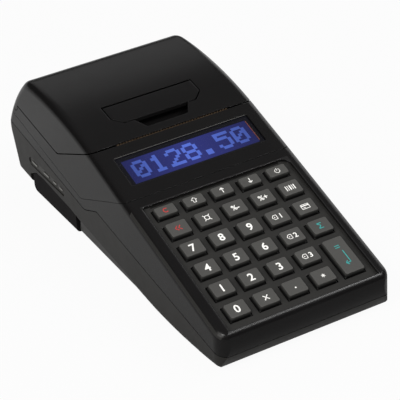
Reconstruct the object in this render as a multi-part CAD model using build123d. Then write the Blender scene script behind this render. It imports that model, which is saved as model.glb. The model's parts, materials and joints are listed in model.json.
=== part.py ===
"""Portable ticket register: a hand-sized till with a keypad, a display and a 57 mm receipt printer.

Frame: X across (right is +), Y towards the rear, Z up. The origin is the middle of the footprint,
on the surface that the feet stand on. Lengths are millimetres and angles are degrees.
"""
from build123d import *
from math import atan2, cos, degrees, hypot, radians, sin, tan
import os

OUT_DIR = "parts"

# ---------------------------------------------------------------- case: overall form
CASE_FRONT_W = 87.2
REAR_TAPER = 0.9
PLAN_FRONT_Y = -103.2
PLAN_TAPER_Y = -20.0
PLAN_REAR_Y = 106.0
PLAN_FRONT_R = 7.0
PLAN_REAR_R = 8.0
WALL = 2.2
TOP_EDGE_R = 4.0
BASE_EDGE_R = 2.8
HEEL_EDGE_R = 3.0
PARTING_GAP = 0.42
DISPLAY_GAP = 0.2
LID_GAP = 0.6

# side outline, (Y, Z) corners from the nose round over the top and back along the belly
NOSE = (-98.5, 3.0)
NOSE_BULGE = (-102.6, 12.5)
RIDGE = (-101.8, 21.0)
DECK_TILT = 17.5
DECK_END_Y = 7.0
CREST = (72.0, 64.0)
CROWN = (80.8, 60.4)
SHOULDER = (101.7, 33.4)
HEEL_TOP = (102.2, 25.5)
HEEL = (96.4, 6.6)
BELLY_REAR = (34.0, 0.8)
KINK = (-26.5, 2.6)
BELLY = (-60.0, 0.6)

# seams on the side walls, (Y, Z) corners with the radius of each corner
PARTING = [(-115.0, 7.8), (8.0, 26.2), (21.0, 20.6), (115.0, 34.4)]
PARTING_R = [5.0, 8.0]
DISPLAY_SEAM = [(-120.0, 90.0), (24.0, 25.2), (115.0, 42.5)]
DISPLAY_SEAM_R = [6.0]
LID_SEAM = [(-120.0, 117.2), (46.0, 38.6), (115.0, 48.9)]
LID_SEAM_R = [6.0]

# tilted facet low on each side wall
FACET_REAR = (24.0, 11.0)
FACET_FRONT = (-28.0, 5.7)
FACET_TILT = 12.0

# ---------------------------------------------------------------- keypad
KEY_ROW0_Y = -32.0
KEY_PITCH_X = 14.45
KEY_PITCH_Y = 12.57
KEY_COLS = 5
KEY_TOP_W = 9.6
KEY_TOP_D = 7.5
KEY_ROW0_D = 5.3
KEY_ROW0_V = -1.1
KEY_ROW1_V = -12.6
KEY_RISE = 2.4
KEY_DRAFT = 8.0
KEY_CORNER_R = 1.1
KEY_CLEAR = 0.5
KEY_TRAVEL = 1.2
KEY_FLANGE_LIP = 1.0
KEY_FLANGE_T = 0.8
RECESS_DEPTH = 1.8
RECESS_RIM_W = 5.8
RECESS_FRONT_V = -71.7
RECESS_REAR_V = 4.8
RECESS_LEFT_R = 1.5
RECESS_RIGHT_R = 4.5
GROOVE_W = 0.7
GROOVE_DEPTH = 0.7
PANEL_T = 1.8
MAT_T = 1.0
DOME_R = 3.2
DOME_TOP_R = 2.2
PCB_T = 1.6
KEY_BOARD_GAP = 1.4
KEY_BOARD_FRONT_V = -70.0
KEY_BOARD_REAR_V = 7.0
KEY_POST_R = 2.0
KEY_POST_INSET = 6.0
KEY_POST_V = [-67.0, -32.0, 3.0]

# ---------------------------------------------------------------- display
WINDOW_HALF_W = 35.0
WINDOW_V0 = 18.0
WINDOW_V1 = 36.6
WINDOW_R = 1.0
WINDOW_SINK = 0.8
WINDOW_T = 1.1
WINDOW_FLANGE = 1.3
WINDOW_FLANGE_T = 0.8
FIT_GAP = 0.1
LCD_HALF_W = 35.6
LCD_T = 3.0
LCD_GLASS_HALF_W = 33.6
LCD_GLASS_V0 = 19.6
LCD_GLASS_V1 = 34.4
LCD_BOARD_HALF_W = 37.6
LCD_BOARD_V0 = 10.0
LCD_BOARD_V1 = 33.0

# ---------------------------------------------------------------- paper lid and its hinge
HINGE_Y = 91.6
HINGE_Z = 44.8
BARREL_R = 3.2
BARREL_GAP = 0.35
EAR_T = 4.4
EAR_GAP = 0.4
SIDE_KNUCKLE_L = 1.8
PIN_R = 1.0
PIN_FIT = 0.05
PIN_LENGTH = 10.0
SLOT_HALF_W = 29.9
SLOT_Y = 9.1
SLOT_GAP = 1.0
TEAR_T = 0.7
TEAR_DEPTH = 4.2
TEAR_TOOTH = 1.5
TEAR_HALF_W = 29.25

# latch lever in the lid, (X half width, Y) corners of its plate
PLATE_REAR_Y = 33.9
PLATE_SHOULDER_Y = 25.4
PLATE_FRONT_Y = 21.0
PLATE_HALF_W = 23.3
PLATE_FRONT_HALF_W = 18.6
PLATE_T = 1.8
PLATE_GAP = 0.65
SCOOP_REAR_Y = 24.5
SCOOP_FRONT_Y = 14.2
SCOOP_REAR_HALF_W = 16.6
SCOOP_FRONT_HALF_W = 10.6
SCOOP_DEPTH = 4.6
SCOOP_WALL = 1.1
LATCH_SHAFT_R = 1.5
LATCH_SHAFT_Y = 31.4
LATCH_SHAFT_DROP = 4.2
LATCH_RIB_X = 27.4
LATCH_RIB_T = 2.0
LUG_X = 11.0
LUG_T = 3.0
HOOK_X = 32.4
HOOK_T = 2.0
HOOK_DEPTH = 2.6
HOOK_REACH = 3.0
HOOK_NOSE_T = 1.8
LATCH_OPEN = 20.0

# ---------------------------------------------------------------- printer
PLATEN_Y = 17.5
PLATEN_Z = 45.8
PLATEN_R = 4.5
PLATEN_HALF_W = 29.0
PLATEN_SHAFT_R = 2.0
BRACKET_X = 31.8
BRACKET_T = 1.8
CHEEK_X = 34.4
CHEEK_T = 1.6
FRAME_Y0 = 4.2
FRAME_Y1 = 25.0
FRAME_Z0 = 17.5
FRAME_Z1 = 49.0
FRAME_BASE_T = 1.8
CROSS_WALL_Z0 = 37.0
CROSS_WALL_Z1 = 45.5
CROSS_WALL_T = 1.4
HEAD_T = 2.4
HEAD_GAP = 0.3
HEAD_PIVOT_Z = 37.6
HEAD_TOP_Z = 50.2
HEAD_PIVOT_R = 1.0
SPRING_R = 1.9
SPRING_WIRE_R = 0.28
SPRING_TURNS = 3
SPRING_X = 14.0
SPRING_Z = 41.5
SPRING_END_GAP = 0.6
GEAR_MODULE = 0.6
GEAR_X = 37.9
GEAR_T = 3.0
PLATEN_TEETH = 20
IDLER_TEETH = 24
PINION_TEETH = 10
GEAR_BACKLASH = 0.16
MOTOR_R = 7.5
MOTOR_LENGTH = 17.0
MOTOR_ANGLE = 212.0
MOTOR_SHAFT_R = 1.0
IDLER_AXLE_R = 1.5

# ---------------------------------------------------------------- paper compartment
ROLL_Y = 60.0
ROLL_Z = 42.0
BUCKET_R = 21.5
BUCKET_T = 1.4
BUCKET_HALF_W = 29.3
STRIKER_T = 1.3
STRIKER_Z = 44.2
STRIKER_X1 = 33.6

# ---------------------------------------------------------------- battery bay
BAY_ROOF = [(27.0, 11.0), (37.0, 12.7), (66.0, 14.7), (74.0, 14.3), (81.4, 10.2)]
BAY_MOUTH = (33.0, 1.6)
BAY_WALL = 1.8
BATTERY_FRONT_Y = 33.8
BATTERY_GAP = 0.35
BATTERY_BASE_Z = 0.8
BATTERY_SIDE_INSET = 0.5
BATTERY_EDGE_R = 2.0
BATTERY_REAR_R = 4.0
BATTERY_WALL = 1.8
CELL_HALF_W = 35.5
CELL_Y0 = 38.4
CELL_Y1 = 75.4
CELL_Z0 = 3.0
CELL_Z1 = 12.0

# channel in the left wall over the battery, with (Y, length) of the pads in it
CHANNEL_Y = (42.5, 81.0)
CHANNEL_Z = 18.4
CHANNEL_H = 4.4
CHANNEL_DEPTH = 0.6
CONTACTS = [(75.3, 6.2), (62.8, 6.2), (53.5, 4.0), (47.1, 4.2)]
CONTACT_H = 1.6
CONTACT_T = 0.3

# ---------------------------------------------------------------- feet, boards, sockets
FOOT_HALF_W = 25.0
FOOT_Y = -58.0
FOOT_D = 9.0
FOOT_SINK = 0.8
REAR_FOOT_X = 29.0
REAR_FOOT_Y = 66.0
REAR_FOOT_R = 5.0
MAIN_BOARD_Z = 7.2
MAIN_BOARD_HALF_W = 34.0
MAIN_BOARD_Y0 = -78.0
MAIN_BOARD_Y1 = -14.0
PORT_BAY_HALF_W = 30.0
PORT_BAY_Y = 96.2
PORT_BAY_Z0 = 9.0
PORT_BAY_Z1 = 24.0
PORT_WALL = 1.8
PORT_BOARD_Z = 9.4
JACK_X = -20.0
JACK_W = 9.0
JACK_H = 10.0
JACK_BORE_R = 2.8
USB_X = -3.0
USB_W = 12.0
USB_H = 11.0
MODULAR_X = 16.0
MODULAR_W = 13.2
MODULAR_H = 11.6
SOCKET_DEPTH = 13.0
SOCKET_PROUD = 0.4

# ---------------------------------------------------------------- screws
CASE_SCREW_INSET = 5.2
CASE_SCREW_Y = [-84.0, -8.0, 88.0]
SCREW_BITE = 7.0
BOSS_R = 3.2
SCREW_R = 1.25
SCREW_HEAD_R = 2.6
SCREW_HEAD_T = 1.6
SCREW_SINK = 2.6
BOARD_SCREW_R = 0.9
BOARD_SCREW_HEAD_R = 1.9
BOARD_SCREW_HEAD_T = 1.1

# ================================================================ derived places
CASE_REAR_W = CASE_FRONT_W - 2 * REAR_TAPER
FRONT_HALF_W = CASE_FRONT_W / 2
REAR_HALF_W = CASE_REAR_W / 2
HALF_W = max(FRONT_HALF_W, REAR_HALF_W)
SLOPE = tan(radians(DECK_TILT))


def deck_z(y):
    """Height of the sloping deck's surface at y."""
    return RIDGE[1] + (y - RIDGE[0]) * SLOPE


DECK_END = (DECK_END_Y, deck_z(DECK_END_Y))
DECK = Plane(
    origin=(0, KEY_ROW0_Y, deck_z(KEY_ROW0_Y)),
    x_dir=(1, 0, 0),
    z_dir=(0, -sin(radians(DECK_TILT)), cos(radians(DECK_TILT))),
)
BELOW_Z = -5.0
BEYOND_Y = PLAN_REAR_Y + 4.0
BAY_REAR_Y = BAY_ROOF[-1][0]
BAY = [(BAY_MOUTH[0], BELOW_Z), BAY_MOUTH] + BAY_ROOF + [(BAY_REAR_Y, BELOW_Z)]
RECESS_HALF_W = FRONT_HALF_W - RECESS_RIM_W
KEY_BOARD_HALF_W = FRONT_HALF_W - WALL - KEY_BOARD_GAP
KEY_POST_U = FRONT_HALF_W - KEY_POST_INSET
BARREL_HALF_W = REAR_HALF_W - SIDE_KNUCKLE_L - EAR_T - 2 * EAR_GAP
PANEL_W = -RECESS_DEPTH
PANEL_UNDER_W = PANEL_W - PANEL_T
FLANGE_TOP_W = PANEL_UNDER_W - KEY_CLEAR
FLANGE_BOTTOM_W = FLANGE_TOP_W - KEY_FLANGE_T
DOME_TOP_W = FLANGE_BOTTOM_W - KEY_TRAVEL - 0.2
MAT_TOP_W = DOME_TOP_W - 1.4
MAT_BOTTOM_W = MAT_TOP_W - MAT_T
KEY_BOARD_BOTTOM_W = MAT_BOTTOM_W - PCB_T
HEAD_FACE_Y = PLATEN_Y - PLATEN_R - HEAD_GAP
IDLER_Z = PLATEN_Z - GEAR_MODULE * (PLATEN_TEETH + IDLER_TEETH) / 2
PINION_DISTANCE = GEAR_MODULE * (IDLER_TEETH + PINION_TEETH) / 2
PINION_Y = PLATEN_Y + PINION_DISTANCE * cos(radians(MOTOR_ANGLE))
PINION_Z = IDLER_Z + PINION_DISTANCE * sin(radians(MOTOR_ANGLE))


def half_w_at(y):
    """Half width of the case at y, where its sides taper towards the rear."""
    share = max(0.0, (y - PLAN_TAPER_Y) / (PLAN_REAR_Y - PLAN_TAPER_Y))
    return FRONT_HALF_W + (REAR_HALF_W - FRONT_HALF_W) * share


CASE_SCREWS = [(side * (half_w_at(y) - CASE_SCREW_INSET), y) for side in (-1, 1) for y in CASE_SCREW_Y]


# ================================================================ helpers
def prism(face, half_w, x=0.0):
    """Extrude a (Y, Z) face across X, half_w each side of x."""
    return Pos(x, 0, 0) * extrude(Plane.YZ * face, amount=half_w, both=True)


def polygon(points):
    return make_face(Polyline(*points, close=True))


def block(x0, x1, y0, y1, z0, z1):
    """Box between two corners."""
    centre = ((x0 + x1) / 2, (y0 + y1) / 2, (z0 + z1) / 2)
    return Pos(*centre) * Box(x1 - x0, y1 - y0, z1 - z0)


def deck_block(u0, u1, v0, v1, w0, w1):
    """Box in the deck's own frame: u across, v up the slope, w out of the deck."""
    return DECK * block(u0, u1, v0, v1, w0, w1)


def rod_x(radius, x0, x1, y, z):
    """Round bar along X."""
    return Pos((x0 + x1) / 2, y, z) * Rot(0, 90, 0) * Cylinder(radius, x1 - x0)


def rod_z(radius, x, y, z0, z1):
    """Round bar along Z."""
    return Pos(x, y, (z0 + z1) / 2) * Cylinder(radius, z1 - z0)


def seam_region(corners, radii, above, shift=0.0):
    """Prism of everything above or below a seam, its inner corners rounded."""
    far_z = 130.0 if above else -40.0
    line = [(y, z + shift) for y, z in corners]
    face = polygon(line + [(line[-1][0], far_z), (line[0][0], far_z)])
    for (y, z), radius in zip(line[1:-1], radii):
        vertex = face.vertices().sort_by_distance((y, z, 0))[0]
        face = fillet(vertex, radius)
    return prism(face, HALF_W + 10)


def mirrored(part):
    """The part and its mirror image across the middle plane."""
    return [part, mirror(part, about=Plane.YZ)]


# ================================================================ case envelope
def side_face(inset):
    """Closed side outline of the case, in (Y, Z)."""
    front = ThreePointArc(NOSE, NOSE_BULGE, RIDGE)
    deck = Line(RIDGE, DECK_END)
    slope_dir = (cos(radians(DECK_TILT)), sin(radians(DECK_TILT)))
    back = TangentArc(DECK_END, CREST, tangent=slope_dir)
    crown = TangentArc(CREST, CROWN, tangent=back % 1)
    shoulder = TangentArc(CROWN, SHOULDER, tangent=crown % 1)
    heel = TangentArc(SHOULDER, HEEL_TOP, tangent=shoulder % 1)
    rear = Line(HEEL_TOP, HEEL)
    under = Line(HEEL, BELLY_REAR)
    middle = Line(BELLY_REAR, KINK)
    belly = ThreePointArc(KINK, BELLY, NOSE)
    face = make_face(Curve() + [front, deck, back, crown, shoulder, heel, rear, under, middle, belly])
    return offset(face, -inset) if inset else face


def plan_face(inset):
    """Plan outline of the case: a tapered rectangle with round corners."""
    front = FRONT_HALF_W - inset
    rear = REAR_HALF_W - inset
    y0 = PLAN_FRONT_Y + inset
    y1 = PLAN_REAR_Y - inset
    turn = PLAN_TAPER_Y
    face = polygon([(-front, y0), (front, y0), (front, turn), (rear, y1), (-rear, y1), (-front, turn)])
    front_corners = face.vertices().filter_by(lambda v: v.Y < y0 + 1)
    face = fillet(front_corners, PLAN_FRONT_R - inset)
    rear_corners = face.vertices().filter_by(lambda v: v.Y > y1 - 1)
    return fillet(rear_corners, PLAN_REAR_R - inset)


def side_facets(inset):
    """What the tilted facet low on each side wall trims away, up to the battery bay."""
    run = FACET_REAR[0] - FACET_FRONT[0]
    rise = FACET_REAR[1] - FACET_FRONT[1]
    rear_x = half_w_at(FACET_REAR[0])
    along = Vector(rear_x - half_w_at(FACET_FRONT[0]), run, rise).normalized()
    down = Vector(-sin(radians(FACET_TILT)), 0, -cos(radians(FACET_TILT)))
    normal = along.cross(down).normalized()
    if normal.X < 0:
        normal = -normal
    corner = Vector(rear_x, *FACET_REAR) - normal * inset
    plane = Plane(origin=corner, x_dir=along, z_dir=normal)
    reach = 110.0
    cutter = plane * Pos(0, 0, reach / 2) * Box(2 * reach, reach, reach)
    return mirrored(cutter & block(0, HALF_W + 30, -reach, BELLY_REAR[0], BELOW_Z, 30))


def is_upright(edge):
    return abs(edge.tangent_at(0.5).Z) > 0.95


def envelope(inset=0.0):
    """Solid form of the whole case, shrunk by inset, with its top edges rounded."""
    body = extrude(Plane.YZ * side_face(inset), amount=HALF_W + 5, both=True)
    body = body & extrude(plan_face(inset), amount=90)
    for trim in side_facets(inset):
        body -= trim
    side_x = min(REAR_HALF_W, FRONT_HALF_W) - inset - 1

    def is_top_edge(edge):
        c = edge.center()
        on_side = abs(c.X) > side_x and c.Z > 20 + inset
        on_front = c.Y < RIDGE[0] + 3 + inset and c.Z > RIDGE[1] - inset - 2
        return (on_side or on_front) and edge.length > 4 and not is_upright(edge)

    return fillet(body.edges().filter_by(is_top_edge), TOP_EDGE_R - inset)


def with_rounded_base(body):
    """The envelope without its battery bay, and with its bottom edges rounded on both sides of the bay."""
    body -= prism(polygon(BAY), HALF_W + 5)
    side_x = min(REAR_HALF_W, FRONT_HALF_W) - 4

    def is_base_edge(edge):
        c = edge.center()
        behind_bay = c.Y > BAY_REAR_Y + 1
        low = c.Z < (HEEL[1] + 1 if behind_bay else NOSE[1] + 1.5)
        at_end = c.Y < NOSE[0] + 2 or c.Y > HEEL[0] - 2
        on_side = abs(c.X) > side_x and (behind_bay or c.Y < BAY_MOUTH[0] - 1)
        return low and not is_upright(edge) and (on_side or at_end)

    heel_edges = body.edges().filter_by(is_base_edge).filter_by(lambda e: e.center().Y > BAY_MOUTH[0])
    body = fillet(heel_edges, HEEL_EDGE_R)
    belly_edges = body.edges().filter_by(is_base_edge).filter_by(lambda e: e.center().Y < BAY_MOUTH[0])
    return fillet(belly_edges, BASE_EDGE_R)


OUTER = with_rounded_base(envelope())
INNER = envelope(WALL)
SHELL = OUTER - INNER
CLEAR_OF_WALL = envelope(WALL + 0.35)
PARTING_BELOW = seam_region(PARTING, PARTING_R, False, -PARTING_GAP / 2)
PARTING_ABOVE = seam_region(PARTING, PARTING_R, True, PARTING_GAP / 2)
DISPLAY_BELOW = seam_region(DISPLAY_SEAM, DISPLAY_SEAM_R, False, -DISPLAY_GAP / 2)
DISPLAY_ABOVE = seam_region(DISPLAY_SEAM, DISPLAY_SEAM_R, True, DISPLAY_GAP / 2)
LID_BELOW = seam_region(LID_SEAM, LID_SEAM_R, False, -LID_GAP / 2)
LID_ABOVE = seam_region(LID_SEAM, LID_SEAM_R, True, LID_GAP / 2)


def outer_z(y):
    """Height of the top surface of the case at y, on the middle plane."""
    line = OUTER & Pos(0, y, 50) * Box(0.2, 0.02, 80)
    return line.bounding_box().max.Z


# ================================================================ lower case
def bottom_case():
    """Lower tub, with the battery bay, the socket bay, bosses and board posts."""
    tub = SHELL & PARTING_BELOW
    bay_cut = prism(polygon(BAY), HALF_W + 5)
    bay_liner = prism(offset(polygon(BAY), BAY_WALL, kind=Kind.INTERSECTION), HALF_W + 5)
    tub += bay_liner & INNER
    tub -= bay_cut

    wall = PORT_WALL
    half = PORT_BAY_HALF_W
    socket_bay = block(-half - wall, half + wall, PORT_BAY_Y - wall, BEYOND_Y, PORT_BAY_Z0 - wall, PORT_BAY_Z1 + wall)
    tub += socket_bay & OUTER & PARTING_BELOW
    tub -= block(-half, half, PORT_BAY_Y, BEYOND_Y, PORT_BAY_Z0, PORT_BAY_Z1)
    for x, width, height in socket_sizes():
        y = PORT_BAY_Y - wall / 2
        z0 = PORT_BOARD_Z + PCB_T
        tub -= block(x - width / 2 - FIT_GAP, x + width / 2 + FIT_GAP, y - wall, y + wall, z0 - FIT_GAP, z0 + height + FIT_GAP)

    tub -= side_channel()
    for y, length in CONTACTS:
        tub += contact_pad(y, length)

    for x, y in CASE_SCREWS:
        tub += rod_z(BOSS_R, x, y, 1.5, boss_top_z(y)) & OUTER & PARTING_BELOW
    for x in (-MAIN_BOARD_HALF_W + 4, MAIN_BOARD_HALF_W - 4):
        for y in (MAIN_BOARD_Y0 + 5, MAIN_BOARD_Y1 - 4):
            tub += rod_z(2.6, x, y, 1.5, MAIN_BOARD_Z) & OUTER
    for x, y in frame_feet():
        tub += rod_z(3.0, x, y, 1.5, FRAME_Z0) & OUTER
    for x in (-22.0, 22.0):
        tub += rod_z(2.4, x, 88.0, 4.0, PORT_BOARD_Z) & OUTER
    for x, y in CASE_SCREWS:
        tub -= rod_z(SCREW_R + 0.25, x, y, -2, 40)
        tub -= rod_z(SCREW_HEAD_R + 0.3, x, y, -2, screw_seat_z(y))
    tub -= block(-FOOT_HALF_W - 0.1, FOOT_HALF_W + 0.1, FOOT_Y - FOOT_D / 2 - 0.1, FOOT_Y + FOOT_D / 2 + 0.1, -3, FOOT_TOP_Z)
    return tub


FOOT_TOP_Z = BELLY[1] + FOOT_SINK


def side_channel():
    """Shallow round-ended channel in the left wall, over the battery."""
    length = CHANNEL_Y[1] - CHANNEL_Y[0]
    face = Pos(sum(CHANNEL_Y) / 2, CHANNEL_Z) * SlotOverall(length, CHANNEL_H)
    return prism(face, CHANNEL_DEPTH, -half_w_at(sum(CHANNEL_Y) / 2))


def contact_pad(y, length):
    """Raised pad on the channel's floor."""
    face = Pos(y, CHANNEL_Z) * SlotOverall(length, CONTACT_H)
    return prism(face, CONTACT_T, CHANNEL_DEPTH - half_w_at(sum(CHANNEL_Y) / 2))


def parting_z(y):
    """Height of the seam between the lower and upper case at y, corners unrounded."""
    for (y0, z0), (y1, z1) in zip(PARTING, PARTING[1:]):
        if y0 <= y <= y1:
            return z0 + (z1 - z0) * (y - y0) / (y1 - y0)
    return PARTING[-1][1]


def boss_top_z(y):
    """Top of a lower screw boss, where the upper case's post stands on it."""
    return parting_z(y) - 4.0


def under_z(y):
    """Height of the case's underside at y, with the rounded nose left out."""
    line = [HEEL, BELLY_REAR, KINK, BELLY]
    for (y1, z1), (y0, z0) in zip(line, line[1:]):
        if y0 <= y <= y1:
            return z0 + (z1 - z0) * (y - y0) / (y1 - y0)
    return BELLY[1]


def screw_seat_z(y):
    """Where a case screw's head seats, up inside its boss."""
    return under_z(y) + SCREW_SINK


def frame_feet():
    return [(x, y) for x in (-28.0, 28.0) for y in (FRAME_Y0 + 4, FRAME_Y1 - 4)]


def socket_sizes():
    return [(JACK_X, JACK_W, JACK_H), (USB_X, USB_W, USB_H), (MODULAR_X, MODULAR_W, MODULAR_H)]


# ================================================================ upper case with the keypad panel
def key_grid():
    """Every key as (name, u, v, top width, top depth)."""
    names = [
        ["clear", "shift", "up", "down", "power"],
        ["void", "price", "minus_percent", "plus_percent", "item"],
        ["7", "8", "9", "dept_1", "payment"],
        ["4", "5", "6", "dept_2", "subtotal"],
        ["1", "2", "3", "dept_3", "total"],
        ["0", "times", "point", "star"],
    ]
    keys = []
    for row, row_names in enumerate(names):
        for col, name in enumerate(row_names):
            u = (col - (KEY_COLS - 1) / 2) * KEY_PITCH_X
            v = KEY_ROW1_V - (row - 1) * KEY_PITCH_Y
            depth = KEY_TOP_D
            if row == 0:
                v = KEY_ROW0_V
                depth = KEY_ROW0_D
            if name == "total":
                v -= KEY_PITCH_Y / 2
                depth += KEY_PITCH_Y
            keys.append(("key_" + name, u, v, KEY_TOP_W, depth))
    return keys


KEYS = key_grid()
KEY_SPREAD = KEY_RISE * tan(radians(KEY_DRAFT))


def key_cap(u, v, width, depth):
    """One key: drafted cap, straight shank through the panel and the flange that keeps it in."""
    base_w = width + 2 * KEY_SPREAD
    base_d = depth + 2 * KEY_SPREAD
    cap = extrude(Pos(u, v, PANEL_W) * RectangleRounded(base_w, base_d, KEY_CORNER_R), amount=KEY_RISE, taper=KEY_DRAFT)
    shank = block(u - base_w / 2 + 0.05, u + base_w / 2 - 0.05, v - base_d / 2 + 0.05, v + base_d / 2 - 0.05, FLANGE_TOP_W, PANEL_W)
    lip = KEY_FLANGE_LIP
    flange = block(u - base_w / 2 - lip, u + base_w / 2 + lip, v - base_d / 2 - lip, v + base_d / 2 + lip, FLANGE_BOTTOM_W, FLANGE_TOP_W)
    return DECK * (cap + shank + flange)


def top_case():
    """Upper case: the ring round the whole body, the sunk keypad panel and the board posts."""
    ring = SHELL & PARTING_ABOVE & DISPLAY_BELOW
    slab = deck_block(-HALF_W, HALF_W, RECESS_FRONT_V - 1.0, RECESS_REAR_V + 2.0, PANEL_UNDER_W, -1.0)
    ring += slab & INNER & PARTING_ABOVE & DISPLAY_BELOW
    recess = Pos(0, (RECESS_FRONT_V + RECESS_REAR_V) / 2, PANEL_W) * Rectangle(2 * RECESS_HALF_W, RECESS_REAR_V - RECESS_FRONT_V)
    left_corner, right_corner = recess.vertices().group_by(Axis.Y)[-1].sort_by(Axis.X)
    recess = fillet(left_corner, RECESS_LEFT_R)
    right_corner = recess.vertices().sort_by_distance((RECESS_HALF_W, RECESS_REAR_V, PANEL_W))[0]
    recess = fillet(right_corner, RECESS_RIGHT_R)
    ring -= DECK * extrude(recess, amount=RECESS_DEPTH + 2)
    groove_end = RECESS_HALF_W - RECESS_RIGHT_R
    ring -= deck_block(-groove_end, groove_end, RECESS_REAR_V - GROOVE_W, RECESS_REAR_V, PANEL_W - GROOVE_DEPTH, PANEL_W)
    for name, u, v, width, depth in KEYS:
        half_u = width / 2 + KEY_SPREAD + KEY_CLEAR
        half_v = depth / 2 + KEY_SPREAD + KEY_CLEAR
        ring -= deck_block(u - half_u, u + half_u, v - half_v, v + half_v, PANEL_UNDER_W - 1, 1)
    for u in (-KEY_POST_U, KEY_POST_U):
        for v in KEY_POST_V:
            ring += DECK * rod_z(KEY_POST_R, u, v, MAT_BOTTOM_W, PANEL_UNDER_W)
            ring -= DECK * rod_z(BOARD_SCREW_R, u, v, MAT_BOTTOM_W - 1, PANEL_UNDER_W + 0.6)
    return ring


def post_top_z(y):
    """Top of an upper screw post."""
    return boss_top_z(y) + SCREW_BITE + 1.5


def case_posts():
    """Upper screw posts, one over each boss of the lower case and joined to the side wall."""
    posts = []
    for x, y in CASE_SCREWS:
        side = 1 if x > 0 else -1
        x0, x1 = sorted((x, side * (HALF_W - 1.6)))
        low = boss_top_z(y) + FIT_GAP
        post = rod_z(BOSS_R - 0.4, x, y, low, post_top_z(y))
        web = block(x0, x1, y - 1.2, y + 1.2, low, post_top_z(y))
        joined = (post & CLEAR_OF_WALL) + ((post + web) & OUTER & PARTING_ABOVE)
        posts.append(joined - rod_z(SCREW_R, x, y, 0, boss_top_z(y) + SCREW_BITE))
    return posts


def keypad_mat():
    """Silicone sheet with one dome under each key."""
    sheet = deck_block(-KEY_POST_U + KEY_POST_R + 0.3, KEY_POST_U - KEY_POST_R - 0.3, KEY_BOARD_FRONT_V, KEY_BOARD_REAR_V, MAT_BOTTOM_W, MAT_TOP_W)
    height = DOME_TOP_W - MAT_TOP_W
    for name, u, v, width, depth in KEYS:
        sheet += DECK * Pos(u, v, MAT_TOP_W + height / 2) * Cone(DOME_R, DOME_TOP_R, height)
    return sheet


def keypad_board():
    board = deck_block(-KEY_BOARD_HALF_W, KEY_BOARD_HALF_W, KEY_BOARD_FRONT_V, KEY_BOARD_REAR_V, KEY_BOARD_BOTTOM_W, MAT_BOTTOM_W)
    for u in (-KEY_POST_U, KEY_POST_U):
        for v in KEY_POST_V:
            board -= DECK * rod_z(BOARD_SCREW_R + 0.2, u, v, KEY_BOARD_BOTTOM_W - 1, MAT_BOTTOM_W + 1)
    for x, y in CASE_SCREWS:
        board -= rod_z(BOSS_R, x, y, 0, 40) + block(x, x + 6, y - BOSS_R, y + BOSS_R, 0, 40) + block(x - 6, x, y - BOSS_R, y + BOSS_R, 0, 40)
    return board


# ================================================================ display housing
def display_housing():
    """Rear upper shell: display deck, printer opening, hinge groove and hinge ears."""
    shell = SHELL & DISPLAY_ABOVE & LID_BELOW
    shell -= block(-SLOT_HALF_W - 0.35, SLOT_HALF_W + 0.35, SLOT_Y, 30, 40, 70)
    window = Pos(0, (WINDOW_V0 + WINDOW_V1) / 2, -6) * RectangleRounded(2 * WINDOW_HALF_W, WINDOW_V1 - WINDOW_V0, WINDOW_R)
    shell -= DECK * extrude(window, amount=10)
    groove_r = BARREL_R + BARREL_GAP
    shell -= rod_x(groove_r, -HALF_W - 1, HALF_W + 1, HINGE_Y, HINGE_Z)
    for side in (-1, 1):
        x0 = side * (BARREL_HALF_W + EAR_GAP)
        x1 = side * (BARREL_HALF_W + EAR_GAP + EAR_T)
        low, high = min(x0, x1), max(x0, x1)
        ear = rod_x(BARREL_R, low, high, HINGE_Y, HINGE_Z)
        ear += block(low, high, HINGE_Y - BARREL_R, HINGE_Y + BARREL_R + 2, HINGE_Z - 8, HINGE_Z)
        shell += ear & OUTER & DISPLAY_ABOVE
        shell -= rod_x(PIN_R, low - 1, high + 1, HINGE_Y, HINGE_Z) & block(low - 1, high + 1, 0, BEYOND_Y, 0, 90)
    return shell


def display_window():
    """Clear lens, set in from below and kept by its flange."""
    width = 2 * WINDOW_HALF_W
    height = WINDOW_V1 - WINDOW_V0
    middle = (WINDOW_V0 + WINDOW_V1) / 2
    flange_top = -WALL - 0.05
    lens = extrude(
        Pos(0, middle, flange_top) * RectangleRounded(width - 2 * FIT_GAP, height - 2 * FIT_GAP, WINDOW_R),
        amount=-flange_top - WINDOW_SINK,
    )
    flange = extrude(
        Pos(0, middle, flange_top - WINDOW_FLANGE_T) * Rectangle(width + 2 * WINDOW_FLANGE, height + 2 * WINDOW_FLANGE),
        amount=WINDOW_FLANGE_T,
    )
    return DECK * (lens + flange)


def lcd_module():
    """Display cell in its bezel, on its own board."""
    top = -WALL - WINDOW_FLANGE_T - 0.3
    v0 = WINDOW_V0 - 0.6
    v1 = WINDOW_V1 - 0.4
    bezel = deck_block(-LCD_HALF_W, LCD_HALF_W, v0, v1, top - LCD_T, top)
    bezel -= deck_block(-LCD_GLASS_HALF_W, LCD_GLASS_HALF_W, LCD_GLASS_V0 - 0.8, LCD_GLASS_V1 + 0.8, top - 1.0, top + 1)
    glass = deck_block(
        -LCD_GLASS_HALF_W + 0.05, LCD_GLASS_HALF_W - 0.05, LCD_GLASS_V0 - 0.75, LCD_GLASS_V1 + 0.75, top - 1.0, top - 0.2
    )
    board = deck_block(-LCD_BOARD_HALF_W, LCD_BOARD_HALF_W, LCD_BOARD_V0, LCD_BOARD_V1, top - LCD_T - PCB_T, top - LCD_T)
    return Compound(children=[bezel, glass, board])


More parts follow.
